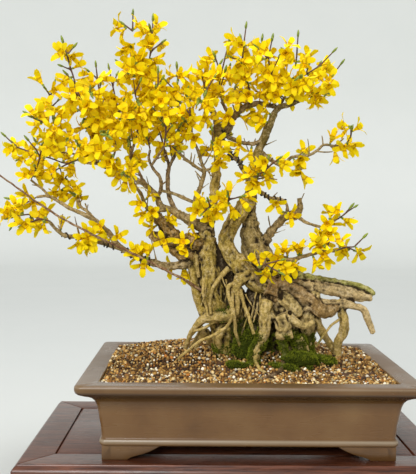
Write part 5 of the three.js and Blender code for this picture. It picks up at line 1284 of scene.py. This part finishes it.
    def carve(self, piece, settings, strength):
        """Raises ridges and furrows that run along each limb, and notes tint with a painted highlight on
        bulges, furrows with painted shade in seams and hollows, and green film.
        """
        points = read_points(piece.data)
        normals = read_normals(piece.data)
        found = [self.nearest(chunk) for chunk in np.array_split(points, len(points) // 4000 + 1)]
        nearest, beside, gap = (np.concatenate([part[column] for part in found]) for column in range(3))
        sample = self.samples[nearest]
        away = points - self.samples[beside][:, :3]
        alike = np.sum(normals * away, axis=1) / np.linalg.norm(away, axis=1)
        seam = np.clip(1 - gap / (4 * MM), 0, 1) * np.clip((0.75 - alike) / 0.5, 0, 1)
        offset = points - sample[:, :3]
        radii = sample[:, 3]
        local = np.stack([
            np.sum(offset * sample[:, 7:10], axis=1), np.sum(offset * sample[:, 10:13], axis=1),
            sample[:, 13] + np.sum(offset * sample[:, 4:7], axis=1)], axis=1)
        top = settings.relief
        rise = np.zeros(len(points))
        seam *= sample[:, 19]
        # Painted shade where one limb meets another
        furrow_and_painted_shade = 0.9 * seam
        for index, (across, up, along) in enumerate(local):
            radius, stretch = radii[index], sample[index, 18]
            spot = Vector(points[index])
            lump = noise.noise(spot * (0.6 / (min(radius, 0.016) + 0.004)))
            fibre = Vector((across, up, along / stretch))
            ridge = 1 - 2 * abs(noise.noise(fibre * 125))
            near, far = noise.voronoi(fibre * 170)[0][:2]
            crack = max(0, 1 - (far - near) * 4.2) * min(1, max(0, 0.7 + 2.4 * noise.noise(spot * 45)))
            fine = noise.noise(fibre * 420)
            knob = noise.noise(spot * 78)
            wart = noise.noise(spot * 160)
            relief = sample[index, 19]
            crack *= relief ** 2
            rise[index] = (
                min(0.32 * radius, 1.3 * top) * lump * relief
                + min(0.16 * radius, 0.5 * top) * (ridge - 0.45)
                + min(0.2 * radius, 0.8 * top) * knob * relief + min(0.1 * radius, 0.36 * top) * wart
                - min(0.12 * radius, 0.45 * top) * crack + min(0.06 * radius, 0.0006) * fine)
            furrow_and_painted_shade[index] += max(0, 0.5 - 0.9 * ridge - 0.6 * lump) * 0.5 + 0.5 * crack
        points += normals * (rise * strength - np.minimum(0.2 * radii, 1.4 * MM) * seam)[:, None]
        write_points(piece.data, points)
        sunk = depth_of_hollows(piece.data, points, normals) / MM
        tint = sample[:, 14:18].copy()
        # Painted highlight: the bark is lighter where it bulges out
        tint[:, :3] *= (1 + 0.45 * np.clip(-sunk / 0.8, 0, 1))[:, None]
        point_attribute(piece.data, "bark_tint_and_highlight", tint, "FLOAT_COLOR")
        # Furrows and cracks, plus painted shade in seams and sunken places
        point_attribute(piece.data, "furrow_and_painted_shade", np.clip(furrow_and_painted_shade * 0.7 + 0.9 * np.clip(sunk / 0.9, 0, 1), 0, 1))
        point_attribute(piece.data, "green_film", np.clip(moss_growth(points) * 0.8, 0, 0.8))

    def nearest(self, points):
        """For each point, the sample with the nearest round surface, that of the next limb and its gap."""
        gaps = np.linalg.norm(points[:, None, :] - self.samples[None, :, :3], axis=2)
        gaps -= self.samples[None, :, 3]
        best = np.argmin(gaps, axis=1)
        others = np.where(self.limbs[None, :] == self.limbs[best][:, None], 1.0, gaps)
        beside = np.argmin(others, axis=1)
        return best, beside, others[np.arange(len(points)), beside]


class BONSAI_OT_wires(bpy.types.Operator):
    """Wind the training wires round their limbs"""
    bl_idname = "bonsai.wires"
    bl_label = "Training wires"

    def execute(self, context):
        material = dark_wire()
        for name, (limb, first, last, turns) in WIRES.items():
            coil = add_tubes([self.route(limb, first, last, turns)], 2)
            smooth_shade(coil, 180)
            nodes = [name] if name in frame["nodes"] else []
            settle(coil, name + "_coil", material, "training_wire", *nodes)
        return {"FINISHED"}

    @staticmethod
    def route(limb, first, last, turns):
        """The helix of a wire that lies on its limb."""
        points, radii = limb_path(limb)
        _, sides, ups = limb_frames(points)
        share = (len(points) - 1) / (len(LIMBS[limb]) - 1)
        route = []
        for step in range(turns * WIRE_STEPS + 1):
            t = step / (turns * WIRE_STEPS)
            # No turn is just as long as the one before it
            at = (first + (last - first) * (t + 0.035 * math.sin(t * turns * 2.3))) * share
            index = min(int(at), len(points) - 2)
            part = at - index
            angle = t * turns * math.tau
            side = sides[index] * (1 - part) + sides[index + 1] * part
            up = ups[index] * (1 - part) + ups[index + 1] * part
            reach = radii[index] * (1 - part) + radii[index + 1] * part + WIRE_RADIUS * MM * 0.9
            middle = points[index] * (1 - part) + points[index + 1] * part
            route.append(middle + (side * math.cos(angle) + up * math.sin(angle)) * reach)
        return np.array(route), np.full(len(route), WIRE_RADIUS * MM)


class BONSAI_OT_sprays(bpy.types.Operator):
    """Grow the flowering shoots with their flowers, calyces and buds"""
    bl_idname = "bonsai.sprays"
    bl_label = "Flowering shoots"

    # Each kind of flower: how its petals rise in degrees at throat, middle and tip, their twist, its share
    KINDS = [
        ((70, 38, -6), 8, 3), ((74, 50, 10), -12, 4), ((62, 22, -34), 16, 2), ((80, 66, 44), 6, 3),
        ((72, 44, 24), -20, 3), ((66, 30, -20), 22, 3), ((78, 58, 8), -8, 4), ((84, 76, 66), 10, 1.5),
    ]
    # How far each petal strays from its flower's kind: rise and twist in degrees
    STRAY = (13, 16)
    # From the middle of a flower's throat back to where its stalk leaves the twig
    STALK = 10
    # Share of the flowers that have a second one at the same bud
    TWINS = 0.5
    # Longest bare end of a shoot, and how far below its tip the side buds stand, in millimetres
    BARE_END = 34
    BUD_STEP = 3
    # Rows along a petal: distance from the throat to the tip, and half width, both as a share
    PETAL_ROWS = [(0.0, 0.5), (0.3, 0.86), (0.72, 1.0), (1.0, 0.4)]
    # Flowers on short spurs straight off the limbs: limb, first and last point along it, and their number
    SPUR_FLOWERS = [
        ("limb_right_low", 0.8, 6.0, 15), ("spur_low", 1.4, 2.0, 1), ("limb_low_front", 2.5, 7.0, 7),
        ("limb_low", 7.4, 9.2, 4), ("limb_low", 0.6, 1.9, 3), ("limb_low", 3.6, 5.4, 3),
        ("limb_left_spur", 0.6, 3.0, 4), ("stump_knob", 1.6, 3.0, 3), ("stump_left", 2.0, 4.6, 4),
        ("young_shoot", 1.6, 3.0, 3), ("trunk_left", 8.0, 9.2, 3), ("limb_pale", 0.4, 1.6, 3),
        ("trunk_middle", 11.4, 13.2, 3), ("spur_inner", 0.8, 2.0, 1), ("limb_front_short", 0.8, 2.0, 6),
        ("limb_right_high", 4.0, 6.4, 3), ("limb_right_high", 8.4, 10.0, 2),
        ("limb_right_loop", 1.2, 2.0, 2), ("limb_right_wired", 2.7, 3.3, 1),
        ("limb_right_thin", 2.4, 4.0, 3), ("limb_right_fork", 0.5, 2.0, 2), ("bridge", 0.8, 2.6, 2),
        ("arc_left", 1.6, 6.0, 5), ("trunk_left", 12.5, 15.5, 6), ("trunk_middle", 15.0, 19.0, 4),
        ("crown_m", 0.6, 2.0, 3), ("crown_n", 0.5, 2.0, 3), ("crown_l", 0.6, 2.0, 3),
        ("crown_o", 0.8, 2.0, 2), ("crown_p", 0.6, 2.0, 3), ("crown_q", 0.6, 2.0, 3),
        ("crown_r", 0.6, 2.0, 3),
    ]

    def execute(self, context):
        settings = context.scene.bonsai_flowers
        rng = random.Random(settings.seed)
        twig_bark = young_twig()
        materials = [forsythia_petal(settings), green_calyx(), twig_bark]
        shapes = [self.add_flower(rng, settings, *kind[:2]) for kind in self.KINDS]
        shapes += [self.add_bud(), self.add_stem()]
        for name in [node for node in frame["nodes"] if node.startswith("spray_")]:
            shoot = refined_copy(name, 0)
            flowers, tips = self.read_shoot(shoot)
            places = []
            for centre, facing, petal in flowers:
                foot = centre - facing * self.STALK * MM
                places.append(self.place_flower(rng, foot, facing, petal, 0.22))
                if rng.random() < self.TWINS:
                    away = facing + self.across(rng, facing) * 1.2 - Vector((0, 0, 0.3))
                    places.append(self.place_flower(rng, foot, away, petal, 0.3))
            for tip, aim, length in tips:
                stretch = Matrix.Diagonal((1, 1, min(length, self.BARE_END * MM) / MM, 1))
                places.append((len(self.KINDS) + 1, stand_on(tip, aim, 1) @ stretch, 0.5))
                for side in (-1, 0, 1):
                    lean = aim + Vector((0.4, 0.2, 0.1)) * side
                    size = rng.uniform(0.6, 0.8) if side else rng.uniform(1.2, 1.6)
                    foot = tip - aim * abs(side) * self.BUD_STEP * MM
                    places.append((len(self.KINDS), stand_on(foot, lean, size), 0.5))
            apply_modifier(shoot, "SUBSURF", levels=1, render_levels=1)
            apply_modifier(shoot, "DISPLACE", strength=0.5 * MM, mid_level=0)
            smooth_shade(shoot, 180)
            owner = name.removeprefix("spray_")
            settle(shoot, "twig_" + owner, twig_bark, "flowering_shoots")
            blooms = scatter(shapes, places)
            smooth_shade(blooms, 62)
            settle(blooms, "blossom_" + owner, materials, "flowering_shoots", name)
        blooms = scatter(shapes, self.spur_places(rng))
        smooth_shade(blooms, 62)
        settle(blooms, "blossom_on_limbs", materials, "flowering_shoots")
        return {"FINISHED"}

    @staticmethod
    def across(rng, aim):
        """A random direction square to an aim."""
        return aim.cross(Vector((rng.uniform(-1, 1), rng.uniform(-1, 1), rng.uniform(-1, 1)))).normalized()

    def place_flower(self, rng, foot, facing, petal, loose):
        """One flower on its stalk's foot, turned a little at random."""
        aim = (facing + self.across(rng, facing) * rng.uniform(0, 2 * loose)).normalized()
        side = (petal - aim * petal.dot(aim)).normalized()
        turn = Matrix((side, aim.cross(side), aim)).transposed().to_4x4()
        size = rng.uniform(0.92, 1.08)
        number = rng.choices(range(len(self.KINDS)), [kind[2] for kind in self.KINDS])[0]
        where = Matrix.Translation(foot + aim * self.STALK * MM * size)
        return number, where @ turn @ Matrix.Scale(size, 4), rng.random()

    def spur_places(self, rng):
        """Flowers that sit straight on the limbs, facing away from them and mostly to the front."""
        places = []
        for limb, first, last, count in self.SPUR_FLOWERS:
            points, radii = limb_path(limb)
            _, sides, ups = limb_frames(points)
            share = (len(points) - 1) / (len(LIMBS[limb]) - 1)
            for _ in range(count):
                index = min(int(rng.uniform(first, last) * share), len(points) - 1)
                angle = rng.uniform(0, math.tau)
                away = Vector(sides[index] * math.cos(angle) + ups[index] * math.sin(angle))
                facing = (away + Vector((0, -0.75, 0.1))).normalized()
                petal = self.across(rng, facing)
                foot = Vector(points[index]) + facing * radii[index] * 0.8
                places.append(self.place_flower(rng, foot, facing, petal, 0.2))
        return places

    @staticmethod
    def read_shoot(shoot):
        """Takes the plain CAD flowers off a shoot, closes their places, and gives where each one stood."""
        work = bmesh.new()
        work.from_mesh(shoot.data)
        bmesh.ops.triangulate(work, faces=work.faces)
        flowers, gone = [], set()
        for vertex in work.verts:
            around = [edge.other_vert(vertex) for edge in vertex.link_edges]
            far = [other for other in around if (other.co - vertex.co).length > 14 * MM]
            near = [other for other in around if (other.co - vertex.co).length < 9 * MM]
            if len(far) == 4 and len(near) == 4:
                middle = sum((other.co for other in near), Vector()) / 4
                facing, petal = vertex.co - middle, far[0].co - middle
                flowers.append((middle, facing.normalized(), petal.normalized()))
                gone.update([vertex, *far, *near])
        bmesh.ops.delete(work, geom=list(gone), context="VERTS")
        bmesh.ops.holes_fill(work, edges=work.edges, sides=4)
        tips = []
        for vertex in work.verts:
            if len(vertex.link_edges) == 3:
                foot = sum((edge.other_vert(vertex).co for edge in vertex.link_edges), Vector()) / 3
                tips.append((vertex.co.copy(), (vertex.co - foot).normalized(), (vertex.co - foot).length))
        work.to_mesh(shoot.data)
        work.free()
        return flowers, tips

    def add_flower(self, rng, settings, rises, twist):
        """One flower that faces up: four petals, a short tube and a green calyx."""
        parts = []
        for number in range(4):
            stray = rng.uniform(-self.STRAY[0], self.STRAY[0])
            turned = twist + rng.uniform(-self.STRAY[1], self.STRAY[1])
            risen = [rise + stray * at for at, rise in enumerate(rises)]
            parts.append(self.add_petal(settings, number, risen, turned))
        parts.append(self.add_cup(7, 1.3, 2.7, (-7.0, -0.4), 0.3, 0))
        parts.append(self.add_cup(5, 1.0, 2.3, (-9.6, -5.2), 0.5, 1))
        make_active(parts[0])
        for part in parts:
            part.select_set(True)
        bpy.ops.object.join()
        return shape_of(bpy.context.object)

    @staticmethod
    def add_cup(sides, low, high, span, reach, kind):
        """A small funnel on the flower's axis, from its lower to its upper height in millimetres."""
        deselect_all()
        bpy.ops.mesh.primitive_cone_add(
            vertices=sides, radius1=low * MM, radius2=high * MM, depth=(span[1] - span[0]) * MM,
            location=(0, 0, sum(span) / 2 * MM))
        bpy.ops.object.transform_apply(location=True, rotation=True, scale=True)
        cup = bpy.context.object
        heights = read_points(cup.data)[:, 2]
        point_attribute(cup.data, "reach", np.where(heights > heights.mean(), 0.02, reach))
        point_attribute(cup.data, "kind", np.full(len(heights), kind))
        return cup

    def add_petal(self, settings, number, rises, twist):
        """One petal: a thin block drawn out in rows, which rise from the throat, spread and curl back."""
        length, half = settings.petal_length, settings.petal_width / 2
        deselect_all()
        bpy.ops.mesh.primitive_cube_add(size=1)
        petal = bpy.context.object
        bpy.ops.object.mode_set(mode="EDIT")
        work = bmesh.from_edit_mesh(petal.data)
        work.verts.ensure_lookup_table()
        bmesh.ops.delete(work, geom=work.verts[:], context="VERTS")
        reach, height, before, rows = 1.7 * MM, -1.2 * MM, 0.0, []
        for along, wide in self.PETAL_ROWS:
            rise = math.radians(np.interp((along + before) / 2, (0, 0.45, 1), rises))
            reach += (along - before) * length * math.cos(rise)
            height += (along - before) * length * math.sin(rise)
            before = along
            width = half * wide
            cos, sin = math.cos(math.radians(twist) * along), math.sin(math.radians(twist) * along)
            # The edges stand 0.16 of the half width above the midrib, and the petal is 0.44 mm thick there
            section = [(-width, 0.16 * width), (0, 0.22 * MM), (width, 0.16 * width), (0, -0.22 * MM)]
            rows.append([work.verts.new((reach, x * cos - z * sin, height + x * sin + z * cos))
                         for x, z in section])
        for low, high in zip(rows, rows[1:]):
            for side in range(4):
                after = (side + 1) % 4
                work.faces.new((low[side], low[after], high[after], high[side]))
        work.faces.new(rows[0][::-1])
        work.faces.new(rows[-1])
        quarter = Matrix.Rotation(number * math.pi / 2, 3, "Z")
        bmesh.ops.rotate(work, verts=work.verts, cent=(0, 0, 0), matrix=quarter)
        bmesh.ops.recalc_face_normals(work, faces=work.faces)
        bmesh.update_edit_mesh(petal.data)
        bpy.ops.object.mode_set(mode="OBJECT")
        point_attribute(petal.data, "reach", np.repeat([row[0] for row in self.PETAL_ROWS], 4))
        point_attribute(petal.data, "kind", np.zeros(len(petal.data.vertices)))
        return petal

    @staticmethod
    def add_stem():
        """The bare end of a shoot: a millimetre high, down from its tip."""
        deselect_all()
        bpy.ops.mesh.primitive_cone_add(
            vertices=6, radius1=1.35 * MM, radius2=0.95 * MM, depth=MM, location=(0, 0, -0.5 * MM))
        bpy.ops.object.transform_apply(location=True, rotation=True, scale=True)
        stem = bpy.context.object
        point_attribute(stem.data, "kind", np.full(len(stem.data.vertices), 2))
        return shape_of(stem)

    @staticmethod
    def add_bud():
        """One slim green leaf bud about 8 mm long."""
        deselect_all()
        bpy.ops.mesh.primitive_uv_sphere_add(segments=6, ring_count=4, radius=1, location=(0, 0, 0))
        bud = bpy.context.object
        points = read_points(bud.data)
        points[:, :2] *= (1.5 - 0.5 * points[:, 2:3]) * 0.95
        points[:, 2] = points[:, 2] * 4 + 3.4
        write_points(bud.data, points * MM)
        point_attribute(bud.data, "kind", np.ones(len(points)))
        return shape_of(bud)


class BONSAI_OT_stage(bpy.types.Operator):
    """Set the pale floor, the soft lights and the camera"""
    bl_idname = "bonsai.stage"
    bl_label = "Stage"

    # The sheet's width, the radius of its bend and its rise after it, in metres, and the steps of the bend
    SHEET_WIDTH = 16
    BEND_RADIUS = 1.6
    SHEET_RISE = 4
    BEND_STEPS = 10
    # The way the sun shines, and its spread in degrees
    SUN_AIM = (0.38, 1.0, -0.66)
    SUN_SPREAD = 28
    # The overhead light's place and size, and the place it looks at
    OVERHEAD = (-0.1, -0.1, 2.0)
    OVERHEAD_SIZE = 0.8
    TREE_MIDDLE = (0, 0, 0.4)

    def execute(self, context):
        settings = context.scene.bonsai_stage
        deselect_all()
        bpy.ops.mesh.primitive_plane_add(size=1, location=(0, 0, 0))
        floor = bpy.context.object
        bpy.ops.object.mode_set(mode="EDIT")
        bpy.ops.mesh.select_all(action="SELECT")
        back = settings.sweep_distance * 1.2
        bpy.ops.transform.resize(value=(self.SHEET_WIDTH, 2 * back, 1), center_override=(0, 0, 0))
        bpy.ops.mesh.select_all(action="DESELECT")
        work = bmesh.from_edit_mesh(floor.data)
        for edge in work.edges:
            edge.select_set(all(vertex.co.y > back * 0.99 for vertex in edge.verts))
        work.select_flush(True)
        bmesh.update_edit_mesh(floor.data)
        # The back edge is drawn up round a quarter circle, then straight up
        for step in range(self.BEND_STEPS):
            low, high = (at / self.BEND_STEPS * math.pi / 2 for at in (step, step + 1))
            move = (0, self.BEND_RADIUS * (math.sin(high) - math.sin(low)),
                    self.BEND_RADIUS * (math.cos(low) - math.cos(high)))
            bpy.ops.mesh.extrude_region_move(TRANSFORM_OT_translate={"value": move})
        bpy.ops.mesh.extrude_region_move(TRANSFORM_OT_translate={"value": (0, 0, self.SHEET_RISE)})
        bpy.ops.object.mode_set(mode="OBJECT")
        bpy.ops.object.shade_smooth()
        floor.name = "floor"
        floor.data.materials.append(paper_sweep(settings))

        world = bpy.data.worlds.new("soft_room")
        world.use_nodes = True
        world.node_tree.nodes["Background"].inputs["Color"].default_value = linear(0xF4F6F8)
        world.node_tree.nodes["Background"].inputs["Strength"].default_value = 0.6
        context.scene.world = world

        context.scene.view_settings.view_transform = "Standard"

        bpy.ops.object.light_add(type="SUN", location=(0, 0, 3))
        sun = context.object
        sun.name = "key"
        sun.data.energy = settings.key_strength
        sun.data.angle = math.radians(self.SUN_SPREAD)
        sun.rotation_euler = Vector(self.SUN_AIM).to_track_quat("-Z", "Y").to_euler()

        bpy.ops.object.light_add(type="AREA", location=self.OVERHEAD)
        overhead = context.object
        overhead.name = "overhead"
        overhead.data.size = self.OVERHEAD_SIZE
        overhead.data.energy = settings.overhead_power
        aim = Vector(self.TREE_MIDDLE) - Vector(self.OVERHEAD)
        overhead.rotation_euler = aim.to_track_quat("-Z", "Y").to_euler()

        bpy.ops.object.camera_add(location=EYE)
        camera = context.object
        camera.rotation_euler = (EYE_TURN @ Matrix.Rotation(math.pi / 2, 3, "X")).to_euler()
        camera.data.sensor_width = SENSOR_WIDTH
        camera.data.sensor_fit = "HORIZONTAL"
        camera.data.lens = EYE_FOCAL / VIEW_WIDTH * SENSOR_WIDTH
        context.scene.camera = camera
        return {"FINISHED"}


class BONSAI_PT_panel(bpy.types.Panel):
    """Lists the pieces of the bonsai"""
    bl_label = "Forsythia bonsai"
    bl_space_type = "VIEW_3D"
    bl_region_type = "UI"
    bl_category = "Bonsai"

    def draw(self, context):
        for settings in SETTINGS:
            group = getattr(context.scene, settings)
            box = self.layout.box()
            for name in group.__annotations__:
                box.prop(group, name)
        for operator in OPERATORS:
            self.layout.operator(operator.bl_idname)


SETTINGS = {
    "bonsai_stage": StageSettings, "bonsai_stand": StandSettings, "bonsai_pot": PotSettings,
    "bonsai_gravel": GravelSettings, "bonsai_moss": MossSettings, "bonsai_wood": WoodSettings,
    "bonsai_flowers": FlowerSettings,
}
OPERATORS = (
    BONSAI_OT_stand, BONSAI_OT_pot, BONSAI_OT_gravel, BONSAI_OT_wood, BONSAI_OT_moss, BONSAI_OT_wires,
    BONSAI_OT_sprays, BONSAI_OT_stage,
)


def register():
    for each in (*SETTINGS.values(), *OPERATORS, BONSAI_PT_panel):
        bpy.utils.register_class(each)
    for name, settings in SETTINGS.items():
        setattr(bpy.types.Scene, name, PointerProperty(type=settings))


def unregister():
    for name in SETTINGS:
        delattr(bpy.types.Scene, name)
    for each in (BONSAI_PT_panel, *OPERATORS, *SETTINGS.values()):
        bpy.utils.unregister_class(each)


def main():
    register()
    bpy.ops.bonsai.stand()
    bpy.ops.bonsai.pot()
    bpy.ops.bonsai.gravel()
    bpy.ops.bonsai.wood()
    bpy.ops.bonsai.moss()
    bpy.ops.bonsai.wires()
    bpy.ops.bonsai.sprays()
    bpy.ops.bonsai.stage()


if __name__ == "__main__":
    main()
